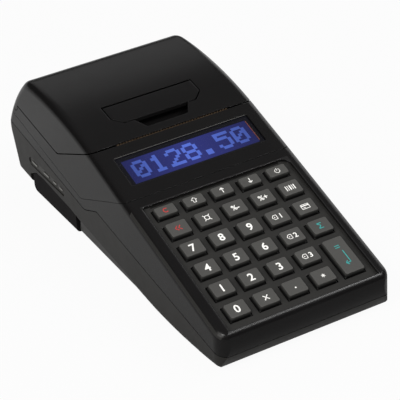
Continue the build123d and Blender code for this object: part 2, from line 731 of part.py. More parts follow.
# ================================================================ paper lid
def plate_outline(grow):
    """Latch plate in plan: clipped front corners, its rear left long for latch_swing() to end."""
    rear = PLATE_REAR_Y + 6.0
    front = PLATE_FRONT_Y - grow
    half = PLATE_HALF_W + grow
    front_half = PLATE_FRONT_HALF_W + grow / 2
    face = polygon([
        (-half, rear), (-half, PLATE_SHOULDER_Y), (-front_half, front),
        (front_half, front), (half, PLATE_SHOULDER_Y), (half, rear),
    ])
    front_corners = face.vertices().filter_by(lambda v: v.Y < rear - 1)
    return fillet(front_corners, 1.6)


def latch_swing(grow):
    """All that lies in front of the latch plate's rear edge, an arc about the latch axis."""
    z = latch_axis_z()
    radius = hypot(PLATE_REAR_Y - LATCH_SHAFT_Y, outer_z(PLATE_REAR_Y) - z) + grow
    return rod_x(radius, -HALF_W, HALF_W, LATCH_SHAFT_Y, z) + block(-HALF_W, HALF_W, 0, LATCH_SHAFT_Y, z, z + 30)


def scoop_outline(grow):
    """Finger scoop in plan."""
    rear_half = SCOOP_REAR_HALF_W + grow
    front_half = SCOOP_FRONT_HALF_W + grow
    y0 = SCOOP_FRONT_Y - grow
    y1 = SCOOP_REAR_Y + grow
    face = polygon([(-rear_half, y1), (-front_half, y0), (front_half, y0), (rear_half, y1)])
    return fillet(face.vertices().group_by(Axis.Y)[0], 1.2 + grow)


def latch_axis_z():
    return outer_z(LATCH_SHAFT_Y) - LATCH_SHAFT_DROP


def paper_lid():
    """Printer cover: shell, hinge barrel, finger scoop, platen brackets and latch ribs."""
    slot_front = SLOT_Y + SLOT_GAP
    region = LID_ABOVE + block(-SLOT_HALF_W, SLOT_HALF_W, slot_front, 30, 40, 75)
    lid = SHELL & region
    lid -= block(-SLOT_HALF_W, SLOT_HALF_W, 0, slot_front, 40, 75)
    groove_r = BARREL_R + BARREL_GAP
    for part in mirrored(rod_x(groove_r, BARREL_HALF_W, BARREL_HALF_W + 2 * EAR_GAP + EAR_T, HINGE_Y, HINGE_Z)):
        lid -= part
    barrel = rod_x(BARREL_R, -BARREL_HALF_W, BARREL_HALF_W, HINGE_Y, HINGE_Z)
    for side in mirrored(rod_x(BARREL_R, BARREL_HALF_W + 2 * EAR_GAP + EAR_T, HALF_W + 1, HINGE_Y, HINGE_Z)):
        barrel += side
    lid += barrel & OUTER
    lid -= rod_x(PIN_R + PIN_FIT, -BARREL_HALF_W - 8, BARREL_HALF_W + 8, HINGE_Y, HINGE_Z) & block(
        -BARREL_HALF_W - EAR_GAP / 2, BARREL_HALF_W + EAR_GAP / 2, 0, BEYOND_Y, 0, 90
    )

    tub_z = outer_z(SCOOP_FRONT_Y + 4) - SCOOP_DEPTH
    tub = extrude(Pos(0, 0, tub_z - SCOOP_WALL) * scoop_outline(SCOOP_WALL), amount=12)
    lid += tub & OUTER
    lid -= extrude(Pos(0, 0, tub_z) * scoop_outline(0), amount=30)
    opening = extrude(Pos(0, 0, 52) * plate_outline(PLATE_GAP), amount=30) & latch_swing(PLATE_GAP)
    lid -= opening & block(-HALF_W, HALF_W, SCOOP_REAR_Y + SCOOP_WALL, HINGE_Y, 40, 75)
    lid -= opening & block(-HALF_W, HALF_W, 0, HINGE_Y, outer_z(PLATE_FRONT_Y) - PLATE_T - 1.0, 75)

    for part in mirrored(bracket()):
        lid += part
    for part in mirrored(latch_rib()):
        lid += part
    return lid


def bracket():
    """Plate that hangs from the lid and carries one end of the platen shaft."""
    top_z = outer_z(PLATEN_Y) - 1.0
    face = polygon([
        (PLATEN_Y - 4.2, PLATEN_Z), (PLATEN_Y - 3.4, top_z), (PLATEN_Y + 8.5, top_z), (PLATEN_Y + 4.2, PLATEN_Z),
    ])
    plate = prism(face, BRACKET_T / 2, BRACKET_X) & OUTER
    plate += rod_x(4.2, BRACKET_X - BRACKET_T / 2, BRACKET_X + BRACKET_T / 2, PLATEN_Y, PLATEN_Z)
    return plate - rod_x(PLATEN_SHAFT_R + PIN_FIT, BRACKET_X - 3, BRACKET_X + 3, PLATEN_Y, PLATEN_Z)


def latch_rib():
    """Rib under the lid with the latch shaft's bearing."""
    z = latch_axis_z()
    y = LATCH_SHAFT_Y
    face = polygon([(y - 3, z), (y - 4, z + 6), (y + 4, z + 6), (y + 3, z)])
    rib = prism(face, LATCH_RIB_T / 2, LATCH_RIB_X) & OUTER
    rib += rod_x(3.0, LATCH_RIB_X - LATCH_RIB_T / 2, LATCH_RIB_X + LATCH_RIB_T / 2, y, z)
    return rib - rod_x(LATCH_SHAFT_R + PIN_FIT, LATCH_RIB_X - 3, LATCH_RIB_X + 3, y, z)


def latch_lever():
    """Visible plate of the latch, with the two lugs that clamp its shaft."""
    skin = OUTER - envelope(PLATE_T)
    plate = skin & extrude(Pos(0, 0, 40) * plate_outline(0), amount=40) & latch_swing(0)
    z = latch_axis_z()
    y = LATCH_SHAFT_Y
    for x in (-LUG_X, LUG_X):
        face = polygon([(y - 2.4, z), (y - 2.4, z + 6), (y + 2.2, z + 6), (y + 2.2, z)])
        lug = prism(face, LUG_T / 2, x) & OUTER
        lug += rod_x(2.6, x - LUG_T / 2, x + LUG_T / 2, y, z)
        plate += lug
        plate -= rod_x(LATCH_SHAFT_R, x - LUG_T, x + LUG_T, y, z)
    return plate


def latch_hooks():
    """Latch shaft with a hook at each end that reaches under the striker."""
    z = latch_axis_z()
    y = LATCH_SHAFT_Y
    shaft = rod_x(LATCH_SHAFT_R, -HOOK_X - HOOK_T / 2, HOOK_X + HOOK_T / 2, y, z)
    nose_top = STRIKER_Z - 0.3
    nose_low = nose_top - HOOK_NOSE_T
    face = polygon([
        (y - HOOK_DEPTH / 2, z + 1.2), (y + HOOK_DEPTH / 2, z + 1.2), (y + HOOK_DEPTH / 2, nose_top),
        (y + HOOK_DEPTH / 2 + HOOK_REACH, nose_top), (y + HOOK_DEPTH / 2, nose_low), (y - HOOK_DEPTH / 2, nose_low),
    ])
    for x in (-HOOK_X, HOOK_X):
        shaft += prism(face, HOOK_T / 2, x)
    return shaft


def latch_spring():
    """Torsion spring on the latch shaft."""
    z = latch_axis_z()
    x0 = 15.0
    coil_r = LATCH_SHAFT_R + 0.15 + SPRING_WIRE_R
    pitch = 0.8
    path = Helix(pitch=pitch, height=pitch * SPRING_TURNS, radius=coil_r)
    wire = sweep(Plane(path @ 0, z_dir=path % 0) * Circle(SPRING_WIRE_R), path)
    return Pos(x0, LATCH_SHAFT_Y, z) * Rot(0, 90, 0) * wire


def tear_bar():
    """Serrated steel strip behind the paper slot."""
    y0 = SLOT_Y + SLOT_GAP - TEAR_T - 0.0
    top = outer_z(y0) + 0.0
    teeth = round(2 * TEAR_HALF_W / TEAR_TOOTH)
    step = 2 * TEAR_HALF_W / teeth
    points = [(-TEAR_HALF_W, top - TEAR_DEPTH)]
    for i in range(teeth):
        x = -TEAR_HALF_W + i * step
        points += [(x, top - 0.7), (x + step / 2, top - 0.05)]
    points += [(TEAR_HALF_W, top - 0.7), (TEAR_HALF_W, top - TEAR_DEPTH)]
    face = make_face(Polyline(*points, close=True))
    return Pos(0, y0, 0) * extrude(Plane.XZ * face, amount=-TEAR_T + 0.02)


def hinge_pins():
    pins = []
    outer_end = BARREL_HALF_W + EAR_GAP + EAR_T
    for pin in mirrored(rod_x(PIN_R, outer_end - PIN_LENGTH, outer_end, HINGE_Y, HINGE_Z)):
        pins.append(pin)
    return Compound(children=pins)


# ================================================================ printer
def gear(teeth, bore_r, phase=0.0):
    """Spur gear with straight-sided teeth, along X, centred on the origin."""
    pitch_r = GEAR_MODULE * teeth / 2
    tip_r = pitch_r + 0.85 * GEAR_MODULE
    root_r = pitch_r - 1.15 * GEAR_MODULE
    pitch_half = 90.0 / teeth - degrees(GEAR_BACKLASH / 2 / pitch_r)
    tip_half = pitch_half - degrees(0.85 * GEAR_MODULE * tan(radians(20)) / pitch_r) * 1.1
    root_half = pitch_half + degrees(0.9 * GEAR_MODULE * tan(radians(20)) / pitch_r) * 0.9
    points = []
    for i in range(teeth):
        middle = phase + 360.0 * i / teeth
        for radius, angle in (
            (root_r, middle - root_half), (tip_r, middle - tip_half), (tip_r, middle + tip_half), (root_r, middle + root_half),
        ):
            points.append((radius * cos(radians(angle)), radius * sin(radians(angle))))
    wheel = prism(make_face(Polyline(*points, close=True)), GEAR_T / 2)
    return wheel - rod_x(bore_r, -GEAR_T, GEAR_T, 0, 0)


def platen_gear():
    """Tooth pointing straight down, into the idler's top gap."""
    return Pos(GEAR_X, PLATEN_Y, PLATEN_Z) * gear(PLATEN_TEETH, PLATEN_SHAFT_R, phase=-90.0)


def idler_gear():
    phase = 90.0 + 180.0 / IDLER_TEETH
    wheel = gear(IDLER_TEETH, IDLER_AXLE_R + PIN_FIT, phase=phase)
    return Pos(GEAR_X, PLATEN_Y, IDLER_Z) * wheel


def motor_pinion():
    """Pinion with the motor's shaft, meshed with the idler along the line between their centres."""
    idler_phase = 90.0 + 180.0 / IDLER_TEETH
    offset_in_tooth = (MOTOR_ANGLE - idler_phase) % (360.0 / IDLER_TEETH) / (360.0 / IDLER_TEETH)
    facing = MOTOR_ANGLE + 180.0
    phase = facing + (0.5 + offset_in_tooth) * 360.0 / PINION_TEETH
    wheel = gear(PINION_TEETH, MOTOR_SHAFT_R, phase=phase)
    pinion = Pos(GEAR_X, PINION_Y, PINION_Z) * wheel
    shaft_start = CHEEK_X - CHEEK_T / 2 - 6.0
    return pinion + rod_x(MOTOR_SHAFT_R, shaft_start, GEAR_X + GEAR_T / 2 + 0.4, PINION_Y, PINION_Z)


def print_motor():
    """Stepper motor can with its mounting flange."""
    face_x = CHEEK_X - CHEEK_T / 2 - 0.1
    can = rod_x(MOTOR_R, face_x - MOTOR_LENGTH, face_x - 1.0, PINION_Y, PINION_Z)
    flange = rod_x(MOTOR_R, face_x - 1.0, face_x, PINION_Y, PINION_Z)
    flange += block(face_x - 1.0, face_x, PINION_Y, PINION_Y + MOTOR_R + 5, PINION_Z - 2.5, PINION_Z + 2.5)
    bore = rod_x(MOTOR_SHAFT_R + PIN_FIT, face_x - 6.0, face_x + 1, PINION_Y, PINION_Z)
    return can + flange - bore


def printer_frame():
    """Sheet-metal chassis: base, two cheeks with open platen slots, cross wall and idler axle."""
    inner = CHEEK_X - CHEEK_T / 2
    outer = CHEEK_X + CHEEK_T / 2
    frame = block(-outer, outer, FRAME_Y0, FRAME_Y1, FRAME_Z0, FRAME_Z0 + FRAME_BASE_T)
    cheek_face = polygon([
        (FRAME_Y0, FRAME_Z0), (FRAME_Y0, CROSS_WALL_Z1), (FRAME_Y0 + 4, FRAME_Z1), (FRAME_Y1 - 3, FRAME_Z1),
        (FRAME_Y1, FRAME_Z1 - 3), (FRAME_Y1, FRAME_Z0),
    ])
    for cheek in mirrored(prism(cheek_face, CHEEK_T / 2, CHEEK_X)):
        frame += cheek
    frame += block(-inner, inner, FRAME_Y0, FRAME_Y0 + CROSS_WALL_T, CROSS_WALL_Z0, CROSS_WALL_Z1)
    slot_r = PLATEN_SHAFT_R + 0.35
    for x in (-CHEEK_X, CHEEK_X):
        frame -= rod_x(slot_r, x - 2, x + 2, PLATEN_Y, PLATEN_Z)
        frame -= block(x - 2, x + 2, PLATEN_Y - slot_r, PLATEN_Y + slot_r, PLATEN_Z, FRAME_Z1 + 1)
        frame -= rod_x(HEAD_PIVOT_R + PIN_FIT, x - 2, x + 2, HEAD_FACE_Y - HEAD_T / 2, HEAD_PIVOT_Z)
    frame -= rod_x(MOTOR_SHAFT_R + 1.5, inner - 1, outer + 1, PINION_Y, PINION_Z)
    frame += rod_x(IDLER_AXLE_R, outer - 0.2, GEAR_X + GEAR_T / 2 + 0.5, PLATEN_Y, IDLER_Z)
    for x, y in frame_feet():
        frame -= rod_z(BOARD_SCREW_R + 0.2, x, y, FRAME_Z0 - 1, FRAME_Z0 + FRAME_BASE_T + 1)
    return frame


def print_head():
    """Thermal head on its heat sink, hung on two pivots."""
    head = block(-PLATEN_HALF_W, PLATEN_HALF_W, HEAD_FACE_Y - HEAD_T, HEAD_FACE_Y, HEAD_PIVOT_Z - 1.4, HEAD_TOP_Z)
    ear_x = CHEEK_X - CHEEK_T / 2 - 0.4
    head += block(-ear_x, ear_x, HEAD_FACE_Y - HEAD_T, HEAD_FACE_Y, HEAD_PIVOT_Z - 1.4, HEAD_PIVOT_Z + 3.0)
    end = CHEEK_X + CHEEK_T / 2
    return head + rod_x(HEAD_PIVOT_R, -end, end, HEAD_FACE_Y - HEAD_T / 2, HEAD_PIVOT_Z)


def head_springs():
    """Two compression springs that press the head to the platen."""
    y0 = FRAME_Y0 + CROSS_WALL_T
    y1 = HEAD_FACE_Y - HEAD_T - SPRING_END_GAP
    length = y1 - y0 - 2 * SPRING_WIRE_R
    path = Helix(pitch=length / SPRING_TURNS, height=length, radius=SPRING_R)
    wire = sweep(Plane(path @ 0, z_dir=path % 0) * Circle(SPRING_WIRE_R), path)
    coil = Pos(SPRING_X, y0 + SPRING_WIRE_R, SPRING_Z) * Rot(-90, 0, 0) * wire
    return Compound(children=[coil, Pos(-2 * SPRING_X, 0, 0) * coil])


def platen_shaft():
    return rod_x(PLATEN_SHAFT_R, -CHEEK_X - CHEEK_T / 2 - 0.8, GEAR_X + GEAR_T / 2 + 0.6, PLATEN_Y, PLATEN_Z)


def platen_roller():
    sleeve = rod_x(PLATEN_R, -PLATEN_HALF_W, PLATEN_HALF_W, PLATEN_Y, PLATEN_Z)
    return sleeve - rod_x(PLATEN_SHAFT_R, -PLATEN_HALF_W - 1, PLATEN_HALF_W + 1, PLATEN_Y, PLATEN_Z)


# ================================================================ paper bucket
def paper_bucket():
    """Half-round trough for the paper roll, its end cheeks, legs and latch strikers."""
    outer_r = BUCKET_R + BUCKET_T
    end_x = BUCKET_HALF_W + BUCKET_T
    lower = block(-60, 60, ROLL_Y - 40, ROLL_Y + 40, ROLL_Z - 40, ROLL_Z)
    trough = rod_x(outer_r, -end_x, end_x, ROLL_Y, ROLL_Z) & lower
    trough -= rod_x(BUCKET_R, -BUCKET_HALF_W, BUCKET_HALF_W, ROLL_Y, ROLL_Z)
    striker_front = LATCH_SHAFT_Y + HOOK_DEPTH / 2 + 1.2
    for side in (-1, 1):
        x0, x1 = sorted((side * BUCKET_HALF_W, side * end_x))
        trough += block(x0, x1, striker_front, ROLL_Y - 5, ROLL_Z - 8, STRIKER_Z + STRIKER_T)
        x2, x3 = sorted((side * BUCKET_HALF_W, side * STRIKER_X1))
        trough += block(x2, x3, striker_front, striker_front + 5, STRIKER_Z, STRIKER_Z + STRIKER_T)
        for y in (ROLL_Y - 12, ROLL_Y + 12):
            trough += block(side * 20 - 2, side * 20 + 2, y - 2, y + 2, max(bay_top_z(y - 2), bay_top_z(y + 2)) + 0.05, ROLL_Z - 15)
    return trough - rod_x(BUCKET_R, -BUCKET_HALF_W, BUCKET_HALF_W, ROLL_Y, ROLL_Z)


def bay_roof_z(y):
    """Underside of the battery bay's roof at y."""
    for (y0, z0), (y1, z1) in zip(BAY_ROOF, BAY_ROOF[1:]):
        if y0 <= y <= y1:
            return z0 + (z1 - z0) * (y - y0) / (y1 - y0)
    return BAY_ROOF[0][1]


def bay_top_z(y):
    """Top of the battery bay's roof at y."""
    steepest = max(abs((z1 - z0) / (y1 - y0)) for (y0, z0), (y1, z1) in zip(BAY_ROOF[:-2], BAY_ROOF[1:-1]))
    return bay_roof_z(y) + BAY_WALL * hypot(1, steepest)


# ================================================================ battery
def battery_cover():
    """Rounded block that closes the battery bay and forms the rear of the base."""
    gap = BATTERY_GAP
    front = BATTERY_FRONT_Y
    rear = BAY_REAR_Y - gap
    base = BATTERY_BASE_Z
    roof = [(y, z - gap) for y, z in BAY_ROOF if front < y < rear]
    side = polygon(
        [(front, base), (front, bay_roof_z(front) - gap)] + roof + [(rear, BAY_ROOF[-1][1] - gap), (rear, base)]
    )
    rear_corner = side.vertices().sort_by_distance((rear, base, 0))[0]
    side = fillet(rear_corner, BATTERY_REAR_R)
    half = half_w_at(BAY_REAR_Y) - BATTERY_SIDE_INSET
    body = prism(side, half)

    def is_rim(edge):
        c = edge.center()
        low = c.Z < BAY_ROOF[0][1] - gap
        return abs(abs(c.X) - half) < 0.01 and low and c.Y > front + 1

    body = fillet(body.edges().filter_by(is_rim), BATTERY_EDGE_R)
    cavity = block(-CELL_HALF_W - 0.4, CELL_HALF_W + 0.4, CELL_Y0 - 0.4, CELL_Y1 + 0.4, base + BATTERY_WALL, 30)
    body -= cavity
    for x in (-REAR_FOOT_X, REAR_FOOT_X):
        body -= rod_z(REAR_FOOT_R + FIT_GAP, x, REAR_FOOT_Y, BELOW_Z, base + FOOT_SINK)
    return body


def battery_pack():
    """Wrapped pair of flat cells."""
    pack = block(-CELL_HALF_W, CELL_HALF_W, CELL_Y0, CELL_Y1, CELL_Z0 - 0.35, CELL_Z1)
    return fillet(pack.edges().filter_by(Axis.X), 2.0)


def rubber_feet():
    strip = block(-FOOT_HALF_W, FOOT_HALF_W, FOOT_Y - FOOT_D / 2, FOOT_Y + FOOT_D / 2, 0, FOOT_TOP_Z)
    rear = [rod_z(REAR_FOOT_R, x, REAR_FOOT_Y, 0, BATTERY_BASE_Z + FOOT_SINK) for x in (-REAR_FOOT_X, REAR_FOOT_X)]
    return Compound(children=[strip] + rear)


# ================================================================ boards and sockets
def main_board():
    """Main circuit board with its larger parts."""
    z0 = MAIN_BOARD_Z
    board = block(-MAIN_BOARD_HALF_W, MAIN_BOARD_HALF_W, MAIN_BOARD_Y0, MAIN_BOARD_Y1, z0, z0 + PCB_T)
    top = z0 + PCB_T
    board += block(-9, 9, -46, -28, top, top + 1.6)
    board += block(-28, -18, -44, -24, top, top + 1.2)
    board += block(16, 28, -40, -30, top, top + 2.4)
    board += block(-20, 20, -21, -16, top, top + 3.0)
    board += rod_z(6.0, 24, -58, top, top + 3.2)
    for i in range(3):
        board += rod_z(2.6, -26 + 7 * i, -62, top, top + 3.0)
    return board


def port_board():
    z0 = PORT_BOARD_Z
    return block(-PORT_BAY_HALF_W + 1, PORT_BAY_HALF_W - 1, BAY_REAR_Y + BAY_WALL + 0.6, PORT_BAY_Y - PORT_WALL - 0.3, z0, z0 + PCB_T)


def socket_body(x, width, height):
    """Socket housing that stands on the port board and ends in the bay's back wall."""
    z0 = PORT_BOARD_Z + PCB_T
    y1 = PORT_BAY_Y + SOCKET_PROUD
    return block(x - width / 2, x + width / 2, y1 - SOCKET_DEPTH, y1, z0, z0 + height)


def dc_jack():
    body = socket_body(JACK_X, JACK_W, JACK_H)
    z = PORT_BOARD_Z + PCB_T + JACK_H / 2
    y1 = PORT_BAY_Y + SOCKET_PROUD
    bore = Pos(JACK_X, y1 - 4.5, z) * Rot(90, 0, 0) * Cylinder(JACK_BORE_R, 9.0)
    return body - bore


def data_sockets():
    """Square data socket and a modular drawer socket."""
    y1 = PORT_BAY_Y + SOCKET_PROUD
    z0 = PORT_BOARD_Z + PCB_T
    usb = socket_body(USB_X, USB_W, USB_H) - block(USB_X - 4.3, USB_X + 4.3, y1 - 9, y1 + 1, z0 + 1.6, z0 + 9.4)
    modular = socket_body(MODULAR_X, MODULAR_W, MODULAR_H)
    modular -= block(MODULAR_X - 4.9, MODULAR_X + 4.9, y1 - 10, y1 + 1, z0 + 3.2, z0 + 9.9)
    modular -= block(MODULAR_X - 1.7, MODULAR_X + 1.7, y1 - 7, y1 + 1, z0 + 1.4, z0 + 3.3)
    return Compound(children=[usb, modular])


# ================================================================ screws
def screw(shank_r, head_r, head_t, length):
    """Pan-head screw pointing up, its head's underside at the origin."""
    body = Pos(0, 0, -head_t / 2) * Cylinder(head_r, head_t)
    body += Pos(0, 0, length / 2) * Cylinder(shank_r, length)
    slot = Pos(0, 0, -head_t) * Box(head_r * 1.3, 0.6, 1.0)
    return body - slot


def screws():
    """Case screws from below and the small screws of the keypad board."""
    group = []
    for x, y in CASE_SCREWS:
        z = screw_seat_z(y)
        length = boss_top_z(y) + SCREW_BITE - 1.0 - z
        group.append(Pos(x, y, z) * screw(SCREW_R, SCREW_HEAD_R, SCREW_HEAD_T, length))
    for u in (-KEY_POST_U, KEY_POST_U):
        for v in KEY_POST_V:
            small = screw(BOARD_SCREW_R, BOARD_SCREW_HEAD_R, BOARD_SCREW_HEAD_T, PCB_T + 3.4)
            group.append(DECK * Pos(u, v, KEY_BOARD_BOTTOM_W) * small)
    return Compound(children=group)


# ================================================================ build
def build():
    """Write every node to its own file."""
    os.makedirs(OUT_DIR, exist_ok=True)
    top = top_case()
    for post in case_posts():
        top += post
    nodes = {
        "bottom_case": bottom_case(),
        "top_case": top,
        "display_housing": display_housing(),
        "display_window": display_window(),
        "lcd_module": lcd_module(),
        "keypad_mat": keypad_mat(),
        "keypad_board": keypad_board(),
        "main_board": main_board(),
        "port_board": port_board(),
        "dc_jack": dc_jack(),
        "data_sockets": data_sockets(),
        "paper_bucket": paper_bucket(),
        "printer_frame": printer_frame(),
        "print_motor": print_motor(),
        "print_head": print_head(),
        "head_springs": head_springs(),
        "battery_cover": battery_cover(),
        "battery_pack": battery_pack(),
        "rubber_feet": rubber_feet(),
        "screws": screws(),
        "hinge_pins": hinge_pins(),
        "paper_lid": paper_lid(),
        "tear_bar": tear_bar(),
        "latch_lever": latch_lever(),
        "latch_hooks": latch_hooks(),
        "latch_spring": latch_spring(),
        "platen_shaft": platen_shaft(),
        "platen_roller": platen_roller(),
        "platen_gear": platen_gear(),
        "idler_gear": idler_gear(),
        "motor_pinion": motor_pinion(),
    }
    for name, u, v, width, depth in KEYS:
        nodes[name] = key_cap(u, v, width, depth)
    for name, part in nodes.items():
        export_step(part, os.path.join(OUT_DIR, name + ".step"))


build()
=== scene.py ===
"""Looks of the portable ticket register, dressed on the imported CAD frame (metres, same axes)."""
import json
import math

import bpy
from mathutils import Matrix, Vector


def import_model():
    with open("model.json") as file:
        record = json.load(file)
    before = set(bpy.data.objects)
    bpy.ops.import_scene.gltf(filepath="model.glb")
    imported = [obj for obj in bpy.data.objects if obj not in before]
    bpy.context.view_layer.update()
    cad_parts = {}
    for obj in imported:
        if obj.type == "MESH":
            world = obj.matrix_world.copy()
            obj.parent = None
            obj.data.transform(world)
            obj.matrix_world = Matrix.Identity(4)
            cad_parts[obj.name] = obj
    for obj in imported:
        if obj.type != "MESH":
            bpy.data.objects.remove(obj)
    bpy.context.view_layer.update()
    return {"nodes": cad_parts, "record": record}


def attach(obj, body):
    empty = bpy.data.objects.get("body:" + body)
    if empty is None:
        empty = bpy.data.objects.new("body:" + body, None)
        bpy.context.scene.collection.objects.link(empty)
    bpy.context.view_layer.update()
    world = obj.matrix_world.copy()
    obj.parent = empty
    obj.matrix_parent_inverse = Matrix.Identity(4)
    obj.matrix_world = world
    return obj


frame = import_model()
nodes = frame["nodes"]
scene = bpy.context.scene

MM = 0.001

# ---------------------------------------------------------------- the keypad deck's own frame, as in the CAD part
DECK_TILT = math.radians(17.5)
DECK_FRONT_Y, DECK_FRONT_Z = -101.8, 21.0
DECK_ORIGIN_Y = -32.0
DECK_ORIGIN = Vector((0.0, DECK_ORIGIN_Y, DECK_FRONT_Z + (DECK_ORIGIN_Y - DECK_FRONT_Y) * math.tan(DECK_TILT)))
DECK_V = Vector((0.0, math.cos(DECK_TILT), math.sin(DECK_TILT)))
DECK_N = Vector((0.0, -math.sin(DECK_TILT), math.cos(DECK_TILT)))
KEY_TOP_W = 0.6
INK_W = 0.02
KEY_PITCH_X = 14.45
KEY_PITCH_Y = 12.57
KEY_ROW0_V = -1.1
KEY_ROW1_V = -12.6


def deck_point(u, v, w):
    """Point of the sloping deck in metres: u across, v up the slope, w out of it (mm)."""
    p = DECK_ORIGIN + Vector((u, 0, 0)) + DECK_V * v + DECK_N * w
    return p * MM


def on_deck(points, w):
    """Deck points (u, v) at one height w."""
    return [deck_point(u, v, w) for u, v in points]


# ================================================================ node helpers
# Painted seam shade: how far occlusion is sought, the occlusion range over which the painted black fades out, and the
# black itself.
SEAM_REACH = 0.0012
SEAM_SHUT, SEAM_OPEN = 0.35, 0.62
SEAM_SHADE_BLACK = (0.0005, 0.0005, 0.0005)
DEFAULT_GLOSS = 0.5


def new_material(name):
    """Empty material with a Principled shader; gives the material, its tree and the shader."""
    mat = bpy.data.materials.new(name)
    mat.use_nodes = True
    tree = mat.node_tree
    tree.nodes.clear()
    out = tree.nodes.new("ShaderNodeOutputMaterial")
    bsdf = tree.nodes.new("ShaderNodeBsdfPrincipled")
    tree.links.new(bsdf.outputs[0], out.inputs[0])
    return mat, tree, bsdf


def add(tree, kind, **values):
    """New node; values set its properties or, with a name like in_3 or in_Scale, its inputs."""
    node = tree.nodes.new(kind)
    for key, value in values.items():
        if key.startswith("in_"):
            which = key[3:]
            node.inputs[int(which) if which.isdigit() else which.replace("_", " ")].default_value = value
        else:
            setattr(node, key, value)
    return node


def noise(tree, coord, scale, detail=2.0, roughness=0.5):
    """Noise factor at a scale per metre."""
    n = add(tree, "ShaderNodeTexNoise", in_Scale=scale, in_Detail=detail, in_Roughness=roughness)
    tree.links.new(coord, n.inputs["Vector"])
    return n.outputs["Fac"]


def ramp(tree, fac, low, high):
    """Map 0..1 to low..high as a plain number."""
    m = add(tree, "ShaderNodeMapRange", in_3=low, in_4=high)
    tree.links.new(fac, m.inputs[0])
    return m.outputs[0]


def mix_colour(tree, fac, a, b):
    """Blend two colours, or a socket and a colour, by a factor socket."""
    m = add(tree, "ShaderNodeMix", data_type="RGBA")
    tree.links.new(fac, m.inputs[0])
    for socket, value in ((m.inputs[6], a), (m.inputs[7], b)):
        if isinstance(value, tuple):
            socket.default_value = (*value, 1)
        else:
            tree.links.new(value, socket)
    return m.outputs[2]


def bump(tree, height, strength, distance, normal=None):
    """Normal of a relief; distance is its depth in metres, normal the one that it starts from."""
    b = add(tree, "ShaderNodeBump", in_Strength=strength, in_Distance=distance)
    tree.links.new(height, b.inputs["Height"])
    if normal is not None:
        tree.links.new(normal, b.inputs["Normal"])
    return b.outputs[0]


def soft_edges(tree, radius):
    """Normal rounded over edges by a radius in metres."""
    return add(tree, "ShaderNodeBevel", samples=6, in_Radius=radius).outputs[0]


def painted_seam_shade(tree):
    """Occlusion share for the painted seam shade: 0 deep in a seam or narrow gap, where shade falls, 1 on open faces.
    """
    shade = add(tree, "ShaderNodeAmbientOcclusion", samples=8, in_Distance=SEAM_REACH)
    clear = add(tree, "ShaderNodeMapRange", in_1=SEAM_SHUT, in_2=SEAM_OPEN)
    tree.links.new(shade.outputs["AO"], clear.inputs[0])
    return clear.outputs[0]


def object_coord(tree):
    """The part's own axes in metres."""
    return add(tree, "ShaderNodeTexCoord").outputs["Object"]


def along_deck(tree, coord, direction):
    """Distance from the keypad deck's origin along one of its directions, in metres."""
    dot = add(tree, "ShaderNodeVectorMath", operation="DOT_PRODUCT")
    tree.links.new(coord, dot.inputs[0])
    dot.inputs[1].default_value = direction
    sub = add(tree, "ShaderNodeMath", operation="SUBTRACT")
    tree.links.new(dot.outputs["Value"], sub.inputs[0])
    sub.inputs[1].default_value = direction.dot(DECK_ORIGIN) * MM
    return sub.outputs[0]


def along(tree, coord, axis):
    """One axis, "X", "Y" or "Z", of a coordinate."""
    s = add(tree, "ShaderNodeSeparateXYZ")
    tree.links.new(coord, s.inputs[0])
    return s.outputs["XYZ".index(axis)]


def between(tree, value, low, high, soft):
    """1 where value lies between low and high, with soft ends."""
    up = add(tree, "ShaderNodeMapRange", clamp=True, in_1=low - soft, in_2=low + soft)
    down = add(tree, "ShaderNodeMapRange", clamp=True, in_1=high - soft, in_2=high + soft, in_3=1.0, in_4=0.0)
    both = add(tree, "ShaderNodeMath", operation="MULTIPLY")
    for i, m in enumerate((up, down)):
        tree.links.new(value, m.inputs[0])
        tree.links.new(m.outputs[0], both.inputs[i])
    return both.outputs[0]


def zone(tree, *limits):
    """1 where every (value, low, high, soft) holds, 0 outside."""
    share = None
    for value, low, high, soft in limits:
        part = between(tree, value, low, high, soft)
        if share is not None:
            both = add(tree, "ShaderNodeMath", operation="MULTIPLY")
            tree.links.new(share, both.inputs[0])
            tree.links.new(part, both.inputs[1])
            part = both.outputs[0]
        share = part
    return share


def repaint(tree, share, colour):
    """Lay another colour over the base colour where share is 1."""
    base = base_colour(tree)
    tree.links.new(mix_colour(tree, share, base.links[0].from_socket, colour), base)


def base_colour(tree):
    return tree.nodes["Principled BSDF"].inputs["Base Color"]


# ================================================================ materials
def moulded(name, colour, rough, grain=0.00001, edge=0.0003, grain_scale=2600, spread=0.18,
            specular=DEFAULT_GLOSS, seam_shade=False):
    """Injection-moulded plastic: fine spark grain, faint cloudiness in colour and gloss, and, where asked, painted
    shade that blackens seams and narrow gaps.
    """
    mat, tree, bsdf = new_material(name)
    coord = object_coord(tree)
    cloud = noise(tree, coord, scale=45, detail=3, roughness=0.6)
    lighter = tuple(c * (1 + spread) for c in colour)
    darker = tuple(c * (1 - spread) for c in colour)
    tree.links.new(mix_colour(tree, cloud, darker, lighter), bsdf.inputs["Base Color"])
    patches = noise(tree, coord, scale=160, detail=4, roughness=0.6)
    tree.links.new(ramp(tree, patches, rough - 0.05, rough + 0.05), bsdf.inputs["Roughness"])
    bsdf.inputs["Specular IOR Level"].default_value = specular
    if seam_shade:
        # Painted shade: colour and gloss fade to black where occlusion is deep, in seams and narrow gaps.
        open_share = painted_seam_shade(tree)
        base = base_colour(tree)
        tree.links.new(mix_colour(tree, open_share, SEAM_SHADE_BLACK, base.links[0].from_socket), base)
        tree.links.new(ramp(tree, open_share, 0.0, specular), bsdf.inputs["Specular IOR Level"])
    fine = noise(tree, coord, scale=grain_scale, detail=2, roughness=0.55)
    relief = bump(tree, fine, strength=0.5, distance=grain, normal=soft_edges(tree, edge))
    tree.links.new(relief, bsdf.inputs["Normal"])
    return mat


